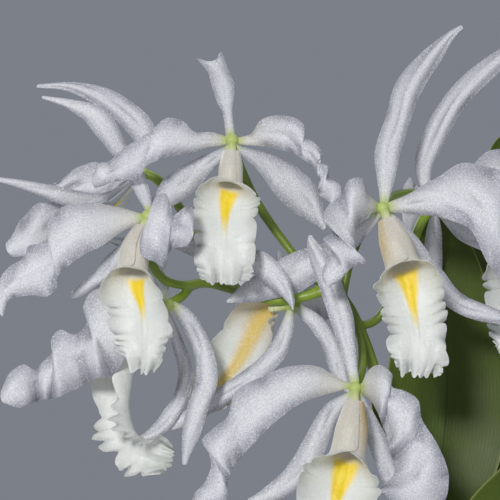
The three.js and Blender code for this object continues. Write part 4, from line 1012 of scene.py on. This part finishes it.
def clay_finish():
    f = Finish("clay", Specular_IOR_Level=0.3)
    patch = f.noise(16, 5, 0.6)
    grit = f.noise(700, 3, 0.6)
    turning = f.noise(60, 3, 0.5, (0.05, 0.05, 3.2))
    f.ground(f.mix(patch, rgb(190, 114, 76), rgb(164, 92, 58)))
    f.tint(f.spread(turning, 0.45, 0.7, 0, 0.3), rgb(204, 136, 98))
    bloom = f.times(f.spread(f.noise(34, 5, 0.62), 0.52, 0.68), f.mark("damp"))
    f.tint(f.times(bloom, 0.75), rgb(222, 206, 188))
    f.tint(f.spread(grit, 0.6, 0.75, 0, 0.4), rgb(132, 72, 46))
    f.rough(f.spread(grit, 0.3, 0.7, 0.78, 0.92))
    f.relief(f.bump(grit, 0.0003, f.bump(turning, 0.0008)))
    return f.material


def stage_finish():
    f = Finish("floor", Specular_IOR_Level=0.2, Roughness=0.9)
    f.ground(rgb(206, 208, 212))
    return f.material


# Blooms


def tepal_part(bloom, number, tepal):
    steps, steps_across = TEPAL_GRID
    u, v = grid(max(steps, TEPAL_STEPS_A_ROW * len(tepal["rows"])), steps_across)
    points = tepal_surface(bloom["hub"], tepal, u, v, seed=number)
    across = 2 * v - 1
    thick = 0.2 + 0.55 * (1 - np.abs(across) ** 5) * (1 - 0.5 * smooth(0.85, 1, u))
    verts, faces = blade(points, thick)
    marks = {
        "along": both(u), "across": both(across),
        "hollow_shade": shade_in_hollows(points, HOLLOW_REACH, TEPAL_HOLLOW),
    }
    return verts, faces, marks


def column_rows(bloom):
    """The column runs from the hub into the tube of the lip."""
    rows = [list(bloom["hub"]) + [COLUMN_RADIUS]]
    for u in np.array(COLUMN_ALONG) * bloom.get("column", 1):
        centre, _, front, _ = lip_frame({**LIP, **bloom["lip"]}, np.array(u))
        half, roll = blend(bloom["lip"]["rows"], np.array(u))[3:5]
        c = centre + front * half / math.radians(roll)
        rows.append([c[0], c[2], c[1], COLUMN_RADIUS + 2 * u])
    return rows


def bloom_piece(name, bloom, materials):
    parts, marks, kinds = [], {"along": [], "across": [], "hollow_shade": []}, []
    hub = bloom["hub"]
    hub_point = place(np.array(float(hub[0])), np.array(float(hub[1])), np.array(float(hub[2])))
    for number, tepal in enumerate(bloom["tepals"]):
        verts, faces, m = tepal_part(bloom, number, tepal)
        parts.append((verts, faces))
        for mark, values in m.items():
            marks[mark].append(values)
        kinds += [0] * len(faces)
    column = limb(column_rows(bloom), 24, 16, swell=lambda u: 1 + 0.25 * smooth(0.7, 1, u))
    knob_radius = 0.8 * HUB_RADIUS
    rows = [[hub[0], hub[1] - knob_radius * math.cos(a), hub[2], knob_radius * math.sin(a) + 0.05]
            for a in np.linspace(0.02, math.pi - 0.02, 15)]
    knob = limb(rows, 20, 20)
    for part in (column, knob):
        parts.append(part)
        for values in marks.values():
            values.append(np.zeros(len(part[0])))
        kinds += [1] * len(part[1])
    verts, faces, _ = merged(parts)
    away = np.linalg.norm(verts - hub_point, axis=1) / MM
    marks["green"] = 0.75 * (1 - smooth(3.0, 8.5, away))
    for mark in ("along", "across", "hollow_shade"):
        marks[mark] = np.concatenate(marks[mark])
    obj = add_mesh("bloom_" + name + "_fine", verts, faces, materials, kinds, marks)
    return finish_piece(obj, "tepal", "bloom_" + name)


# Where a lip's yellow stripe starts and ends along it, and how wide it starts.
YELLOW = {
    "top": (0.28, 0.72, 0.32), "left": (0.3, 0.7, 0.3), "lower_left": (0.36, 0.6, 0.16),
    "low_middle": (0.05, 0.92, 0.6), "low_right": (0.3, 0.8, 0.36), "right": (0.28, 0.72, 0.33),
    "far_right": (0.3, 0.7, 0.22), "far_left": (0.3, 0.7, 0.22),
}
# Which flank of a throat has an amber patch.
AMBER = {"low_right": -1, "right": 1}
# How warm the white of a lip's tube is.
WARM = {"top": 0.35, "left": 0.35, "lower_left": 0.3, "low_middle": 0.5,
        "low_right": 0.4, "right": 0.4, "far_right": 0.4, "far_left": 0.3}


def lip_piece(name, bloom, material):
    lip = {**LIP, **bloom["lip"]}
    u, v = grid(*LIP_GRID)
    seed = len(name) * 0.37
    points = lip_surface(lip, u, v, seed)
    across = 2 * v - 1
    thick = 0.22 + 0.5 * (1 - np.abs(across) ** 4) * (1 - 0.6 * smooth(0.85, 1, u))
    verts, faces = blade(points, thick)
    first, last, wide = YELLOW[name]
    stripe = smooth(first, first + 0.08, u) * (1 - smooth(last - 0.16, last, u))
    width = wide * (1 - 0.62 * smooth(first, last, u))
    core = 0.1 if name == "low_middle" else 0.4
    stripe = stripe * (1 - smooth(core * width, width, np.abs(across)))
    warm = WARM[name] * (1 - smooth(0.2, 0.5, u))
    warm = np.maximum(warm, 0.35 * stripe)
    flank = AMBER.get(name, 0)
    amber_and_shade = 0.8 * abs(flank) * bell(across - 0.6 * flank, 0.16)
    amber_and_shade = amber_and_shade * (1 - smooth(0.1, 0.36, u))
    # Painted shade: on the low middle lip the yellow stripe lies in shade, so it is painted dull amber
    # and its yellow is cut back.
    if name == "low_middle":
        amber_and_shade = 0.8 * stripe
        stripe = 0.3 * stripe**2
    marks = {
        "along": both(u), "across": both(across),
        "yellow": both(stripe), "warm": both(warm),
        "amber_and_shade": both(amber_and_shade), "hollow_shade": shade_in_hollows(points, HOLLOW_REACH, LIP_HOLLOW),
    }
    obj = add_mesh("lip_" + name + "_fine", verts, faces, [material], None, marks, 60)
    return finish_piece(obj, "lip", "lip_" + name)


TEPAL, COLUMN, LIP_FINISH = tepal_finish(), column_finish(), lip_finish()
for key, flower in BLOOMS.items():
    bloom_piece(key, flower, [TEPAL, COLUMN])
    lip_piece(key, flower, LIP_FINISH)

# Flower stem and its sheath

# Rows of x, z, depth and radius, from the foot up.
PEDUNCLE = [
    [78.6, -165.4, 18, 3.2], [78.6, -158, 18, 3.2], [76, -130, 14, 3.2], [69, -90, 10, 3.1],
    [62, -60, 8, 3], [54, -38, 6, 3], [46, -24, 4, 2.9], [38, -20, 6, 2.8],
]

STALKS = {
    "top": [[38, -20, 6, 2.2], [30, -12, 11, 2], [14, 8, 14, 2.3], [2, 26, 12, 2.6],
            [-6, 44, 4, 2.6]],
    "left": [[38, -20, 6, 2.6], [26, -23.5, 8, 2.5], [11, -25, 8, 2.4], [-5, -21, 10, 2.3],
             [-22, -16.5, 11, 2.2], [-34, -17.5, 2, 2.2], [-44, -14, -8, 2.3], [-51, -3, -12, 2.6],
             [-55, 10, -16, 2.5]],
    "lower_left": [[-5, -21, 10, 2.2], [-20, -17, 13, 2.2], [-29, -18, 11, 2.4],
                   [-34, -23, 4, 2.6]],
    "low_middle": [[38, -20, 6, 2.2], [33, -20.5, 7, 2.2], [27, -23, 9, 2.4]],
    "low_right": [[50, -32, 5, 2.2], [55, -44, -2, 2.2], [56, -56, -12, 2.6], [54, -65, -24, 2.6]],
    "right": [[46, -24, 4, 2.4], [50, -6, 6, 2.2], [58, 12, 12, 2.2], [72, 26, 12, 2.4],
              [84, 28, 2, 2.8], [73, 27, -16, 2.7]],
    "far_right": [[54, -38, 6, 2.2], [64, -34, 12, 2.2], [76, -14, 12, 2.3], [84, 10, 10, 2.6]],
    "far_left": [[-5, -21, 10, 2.2], [-20, -2, 22, 2.2], [-33, 18, 29, 2.4], [-45, 34, 27, 2.6]],
}


def ovary_ribs(u, angle):
    return 1 - 0.09 * smooth(0.45, 0.8, u) * (0.5 - 0.5 * np.cos(6 * angle))


def stem_piece():
    parts = [limb(PEDUNCLE, 90, 22)]
    for name, rows in STALKS.items():
        hub = BLOOMS[name]["hub"]
        short = [rows[-1][k] + 0.86 * (hub[k] - rows[-1][k]) for k in range(3)]
        parts.append(limb(rows + [short + [STEM_TIP_RADIUS]], 70, 24, ovary_ribs))
    verts, faces, _ = merged(parts)
    obj = add_mesh("flower_stem_fine", verts, faces, [stem_finish()])
    remesh = obj.modifiers.new("joined", "REMESH")
    remesh.mode = "VOXEL"
    remesh.voxel_size = STEM_CELL * MM
    remesh.use_smooth_shade = True
    soft = obj.modifiers.new("soft", "SMOOTH")
    soft.factor = 0.5
    soft.iterations = 4
    done = applied(obj)
    points = np.empty(len(done.vertices) * 3)
    done.vertices.foreach_get("co", points)
    points = points.reshape(-1, 3)
    near = np.full(len(points), 1e9)
    for bloom in BLOOMS.values():
        hub = [np.array(float(c)) for c in bloom["hub"]]
        near = np.minimum(near, np.linalg.norm(points - place(*hub), axis=1) / MM)
    layer = done.attributes.new("green", "FLOAT", "POINT")
    layer.data.foreach_set("value", (1 - smooth(8, 34, near)).astype(np.float32))
    return finish_piece(obj, "stem", "flower_stem")


stem_piece()

SPATHE = {
    "face": [0, -1, 0], "frill": 0, "waves": 5, "round": 4,
    "rows": [
        [78, -152, 22, 13.6, 170], [76, -130, 18.8, 13.8, 165], [72, -104, 17, 14, 140],
        [68, -86, 15.4, 12, 120], [65.5, -74, 14, 8, 90], [63.8, -65, 13.4, 5, 60],
    ],
}


def rolled_sheath(name, lip, slot, material, thick, *nodes):
    u, v = grid(*SHEATH_GRID)
    verts, faces = blade(lip_surface(lip, u, v), thick * (0.4 + 0.6 * (1 - np.abs(2 * v - 1) ** 4)))
    marks = {"along": both(u), "across": both(2 * v - 1)}
    obj = add_mesh(name, verts, faces, [material], None, marks)
    return finish_piece(obj, slot, *nodes)


rolled_sheath("spathe_fine", SPATHE, "sheath", spathe_finish(), SPATHE_THICKNESS, "spathe")

# Bulbs, leaves and their dry sheaths


def bulb_rows(growth):
    x, depth = growth["foot"]
    top = growth["top"]
    middle = [(x + top[0]) / 2, (RHIZOME_TOP + top[1]) / 2, (depth + top[2]) / 2]
    return [
        [x, RHIZOME_TOP + GAP, depth, 6], [x, RHIZOME_TOP + 18, depth, 8], middle + [11],
        [top[0], top[1] - 34, top[2], 10], [top[0], top[1] - 8, top[2], 7.5], list(top) + [7],
    ]


def bulb_ribs(u, angle):
    groove = 0.13 * math.sin(math.pi * u) * (0.5 - 0.5 * np.cos(6 * angle + 0.4)) ** 1.6
    wrinkle = 0.008 * np.sin(17 * angle + 5 * u) * math.sin(math.pi * u)
    return 1 - groove + wrinkle


# Where the rings of a bulb lie, as shares of its height.
RINGS = (0.2, 0.43, 0.68)


def bulb_piece(number, growth, material):
    def swell(u):
        return 1 + 0.035 * sum(bell(u - ring, 0.012) for ring in RINGS)

    rings, sides = 130, 48
    verts, faces = limb(bulb_rows(growth), rings, sides, bulb_ribs, swell)
    u = np.repeat(np.linspace(0, 1, rings + 1), sides)
    ring = sum(bell(u - r, 0.009) for r in RINGS)
    marks = {"ring": np.concatenate([np.clip(ring, 0, 1), [0, 0]])}
    name = "pseudobulb_" + str(number)
    obj = add_mesh(name + "_fine", verts, faces, [material], None, marks)
    return finish_piece(obj, "bulb", name)


def sheath_rows(growth, first, last, room):
    """A dry sheath's rows: it follows its bulb from first to last, a little wider than it."""
    rows = []
    for k in range(6):
        u = first + (last - first) * k / 5
        x, z, depth, radius = blend(bulb_rows(growth), np.array(u))
        roll = 172 - 110 * (k / 5) ** 3
        wide = radius + room
        rows.append([x, z, depth + wide, wide * math.radians(roll), roll])
    return rows


def leaf_piece(number, growth, material):
    leaf, top = growth["leaf"], growth["top"]
    start = leaf[0]
    middle = (start[0] + start[2]) / 2
    u, v = grid(*LEAF_GRID)
    across = 2 * v - 1
    blade_points = tepal_surface(
        [middle, start[1] - 3, start[4]], {**LEAF, "rows": leaf}, u, v, seed=number
    )
    thick = 0.5 + 1.2 * (1 - np.abs(across) ** 3) * (1 - 0.5 * smooth(0.85, 1, u))
    thick = thick + 0.5 * bell(across, 0.08) * (1 - smooth(0.7, 1, u))
    verts, faces = blade(blade_points, thick)
    heel = limb([
        [top[0] + 3.4, top[1] + GAP, top[2], 3], [top[0] + 3.4, top[1] + 4, top[2], 2.8],
        [middle, start[1] + 1, start[4], 2],
    ], 16, 20)
    whole, all_faces, _ = merged([(verts, faces), heel])
    marks = {
        "along": np.concatenate([both(u), np.zeros(len(heel[0]))]),
        "across": np.concatenate([both(across), np.full(len(heel[0]), 0.5)]),
    }
    obj = add_mesh("leaf_" + str(number) + "_fine", whole, all_faces, [material], None, marks)
    return finish_piece(obj, "leaf", "leaf_" + str(number))


BULB, LEAF_FINISH, PAPER = bulb_finish(), leaf_finish(), paper_finish()
for count, plant in enumerate(GROWTHS, 1):
    bulb_piece(count, plant, BULB)
    leaf_piece(count, plant, LEAF_FINISH)
    for level, (low, high) in enumerate(SHEATH_SPANS, 1):
        sheath = {
            "face": [0, -1, 0] if (count + level) % 2 else [0.4, -1, 0], "frill": 0, "waves": 5,
            "round": 5, "rows": sheath_rows(plant, low, high, 0.5 + 0.6 * level),
        }
        name = "dry_sheath_" + str(count) + "_" + str(level)
        rolled_sheath(name, sheath, "sheath", PAPER, SHEATH_THICKNESS)

# Rhizome and roots

RHIZOME = [
    [88, -361, 12, 4], [76, -359, 16, 5.5], [58, -359, 28, 5.5], [42, -359, 21, 5.5],
    [24, -359, 12, 5.5], [8, -359, 21, 5.5], [-2, -361, 24, 4],
]

ROOTS = [
    [[78, -356, 14, 2], [92, -358, 4, 2], [102, -360, -10, 1.9], [104, -372, -18, 1.7]],
    [[62, -356, 24, 2], [72, -357, 40, 2], [78, -360, 54, 1.9], [80, -374, 60, 1.7]],
    [[44, -356, 22, 2], [36, -357, 40, 2], [30, -360, 54, 1.9], [26, -374, 62, 1.7]],
    [[26, -356, 13, 2], [20, -357, -4, 2], [24, -359, -20, 1.9], [30, -374, -30, 1.7]],
    [[10, -356, 19, 2], [0, -357, 8, 2], [-4, -360, -6, 1.9], [-2, -374, -14, 1.7]],
]


def rhizome_piece():
    def scars(u):
        return 1 + 0.05 * np.maximum(cycle(15 * u), 0) ** 4

    parts = [limb(RHIZOME, 150, 24, swell=scars)]
    for growth in GROWTHS:
        x, depth = growth["foot"]
        rows = [[x, RHIZOME_TOP - 7, depth, 6.5], [x, RHIZOME_TOP, depth, 6]]
        parts.append(limb(rows, 10, 32))
    woody = len(parts)
    for k, rows in enumerate(ROOTS):
        parts.append(limb(rows, 48, 16, swell=lambda u, k=k: 1 + 0.06 * np.sin(21 * u + k)))
    verts, faces, counts = merged(parts)
    marks = {"root": np.concatenate([np.full(n, float(i >= woody)) for i, n in enumerate(counts)])}
    obj = add_mesh("rhizome_fine", verts, faces, [rhizome_finish()], None, marks)
    return finish_piece(obj, "rhizome", "rhizome")


rhizome_piece()

# Pot and bark


def lathe(profile, sides):
    """A profile of radius and height turned about the pot's axis."""
    profile = np.asarray(profile, float)
    angle = np.linspace(0, 2 * math.pi, sides, endpoint=False)
    verts, faces, rings = [], [], []
    for r, z in profile:
        if r == 0:
            rings.append([len(verts)] * sides)
            verts.append([0, 0, z * MM])
        else:
            rings.append(list(range(len(verts), len(verts) + sides)))
            verts += [[r * MM * math.cos(a), r * MM * math.sin(a), z * MM] for a in angle]
    for low, high in zip(rings, rings[1:]):
        for k in range(sides):
            n = (k + 1) % sides
            face = [low[k], low[n], high[n], high[k]]
            face = [p for i, p in enumerate(face) if p != face[i - 1]]
            faces.append(face)
    return np.array(verts), faces


def pot_piece():
    def taper(z):
        return POT_BASE_RADIUS + (POT_TOP_RADIUS - RIM_STEP - POT_BASE_RADIUS) * z / POT_HEIGHT

    outside = [[0, 0], [20, 0], [40, 0], [POT_BASE_RADIUS - 2, 0], [POT_BASE_RADIUS - 0.6, 0.6],
               [POT_BASE_RADIUS, 2]]
    outside += [[taper(z) + 0.12 * math.sin(z * 1.9), z] for z in np.linspace(3, RIM_FOOT - 1, 46)]
    outside += [
        [taper(RIM_FOOT), RIM_FOOT], [POT_TOP_RADIUS - 1.5, RIM_FOOT + 0.8],
        [POT_TOP_RADIUS - 0.3, RIM_FOOT + 2], [POT_TOP_RADIUS, RIM_FOOT + 4],
    ]
    outside += [[POT_TOP_RADIUS + 0.08 * math.sin(z * 2.3), z]
                for z in np.linspace(RIM_FOOT + 5, POT_HEIGHT - 3, 12)]
    outside += [
        [POT_TOP_RADIUS - 0.3, POT_HEIGHT - 1], [POT_TOP_RADIUS - 1.2, POT_HEIGHT - 0.2],
        [POT_TOP_RADIUS - 2.2, POT_HEIGHT], [INNER_TOP_RADIUS + 1.2, POT_HEIGHT],
        [INNER_TOP_RADIUS + 0.4, POT_HEIGHT - 0.4], [INNER_TOP_RADIUS, POT_HEIGHT - 1.5],
        [INNER_TOP_RADIUS - 2, RIM_FOOT], [INNER_BASE_RADIUS, POT_WALL], [0, POT_WALL],
    ]
    verts, faces = lathe(outside, 128)
    obj = add_mesh("pot_fine", verts, faces, [clay_finish()], None, None, 40)
    holes = []
    low, high = -POT_WALL, 2 * POT_WALL
    for k in range(DRAIN_HOLES):
        a = math.radians(360 * k / DRAIN_HOLES)
        hole = lathe([[0, low], [DRAIN_RADIUS, low], [DRAIN_RADIUS, high], [0, high]], 40)
        hole[0][:, 0] += DRAIN_FROM_AXIS * MM * math.cos(a)
        hole[0][:, 1] += DRAIN_FROM_AXIS * MM * math.sin(a)
        holes.append(hole)
    cutter_verts, cutter_faces, _ = merged(holes)
    cutter = add_mesh("drain_cutter", cutter_verts, cutter_faces, [])
    cut = obj.modifiers.new("drain", "BOOLEAN")
    cut.operation = "DIFFERENCE"
    cut.object = cutter
    done = applied(obj)
    bpy.data.objects.remove(cutter)
    height = np.array([vertex.co.z for vertex in done.vertices]) / MM
    layer = done.attributes.new("damp", "FLOAT", "POINT")
    damp = 0.35 + 0.65 * (1 - smooth(8, 60, height)) + 0.3 * smooth(112, 125, height)
    layer.data.foreach_set("value", np.clip(damp, 0, 1).astype(np.float32))
    return finish_piece(obj, "pot", "pot")


def turned(angle, axis):
    """The matrix of a turn about axis 0, 1 or 2."""
    first, second = [(1, 2), (2, 0), (0, 1)][axis]
    matrix = np.eye(3)
    matrix[first, first] = matrix[second, second] = math.cos(angle)
    matrix[second, first] = math.sin(angle)
    matrix[first, second] = -math.sin(angle)
    return matrix


def chip(random, reach, height):
    """One rough bark chip: a box with its edges broken and its faces uneven."""
    size = np.array([random.uniform(11, 23), random.uniform(7, 14), random.uniform(4, 8)])
    u, v = np.meshgrid(np.linspace(0, math.pi, 9), np.linspace(0, 2 * math.pi, 14, endpoint=False),
                       indexing="ij")
    ball = np.stack([np.sin(u) * np.cos(v), np.sin(u) * np.sin(v), np.cos(u)], -1)
    box = np.sign(ball) * np.abs(ball) ** 0.45
    rough = 1 + 0.13 * random.standard_normal(box.shape[:2])[..., None]
    rough[0], rough[-1] = 1, 1
    rough[:, -1] = rough[:, 0]
    points = box * rough * size / 2
    tilt = random.uniform(-0.45, 0.45, 2)
    spin = random.uniform(0, 2 * math.pi)
    turn = turned(spin, 2) @ (turned(tilt[1], 1) @ turned(tilt[0], 0))
    points = points @ turn.T
    a = random.uniform(0, 2 * math.pi)
    points += [reach * math.cos(a), reach * math.sin(a), height]
    rows, columns = points.shape[:2]
    inner = points[1:-1].reshape(-1, 3)
    verts = np.concatenate([inner, points[:1, 0], points[-1:, 0]]) * MM
    number = np.arange((rows - 2) * columns).reshape(rows - 2, columns)
    after = np.roll(number, -1, axis=1)
    faces = np.stack([number[:-1], number[1:], after[1:], after[:-1]], -1).reshape(-1, 4).tolist()
    top, bottom = (rows - 2) * columns, (rows - 2) * columns + 1
    faces += [[top, number[0][k], after[0][k]] for k in range(columns)]
    faces += [[bottom, after[-1][k], number[-1][k]] for k in range(columns)]
    return verts, faces


def bark_piece():
    """Bark up to a flat top, with a layer of loose chips on it."""
    slope = (INNER_TOP_RADIUS - INNER_BASE_RADIUS) / (RIM_FOOT - POT_WALL)

    def wall(z):
        return INNER_BASE_RADIUS + slope * (z - POT_WALL) * 0.9 - GAP

    body = lathe([
        [0, POT_WALL + GAP], [wall(POT_WALL) - 1, POT_WALL + GAP],
        [wall(BARK_TOP - 14) - 4, BARK_TOP - 14], [wall(BARK_TOP - 14) - 6, BARK_TOP - 9],
        [0, BARK_TOP - 9],
    ], 64)
    random = np.random.default_rng(BARK_SEED)
    parts = [body]
    for n in range(BARK_CHIPS):
        reach = BARK_REACH * math.sqrt((n + 0.5) / BARK_CHIPS)
        height = BARK_TOP - 6.5 + random.uniform(-2.5, 3.2) - 2.0 * (reach < 30)
        parts.append(chip(random, reach, height))
    verts, faces, counts = merged(parts)
    tones = np.concatenate([np.full(n, random.uniform(0, 1)) for n in counts])
    obj = add_mesh("bark_fine", verts, faces, [bark_finish()], None, {"tone": tones}, 38)
    return finish_piece(obj, "bark", "bark")


pot_piece()
bark_piece()

# Stage

bpy.ops.mesh.primitive_circle_add(vertices=FLOOR_SIDES, radius=FLOOR_RADIUS * MM, fill_type="NGON")
floor = bpy.context.object
floor.name = "floor"
floor.data.materials.append(stage_finish())
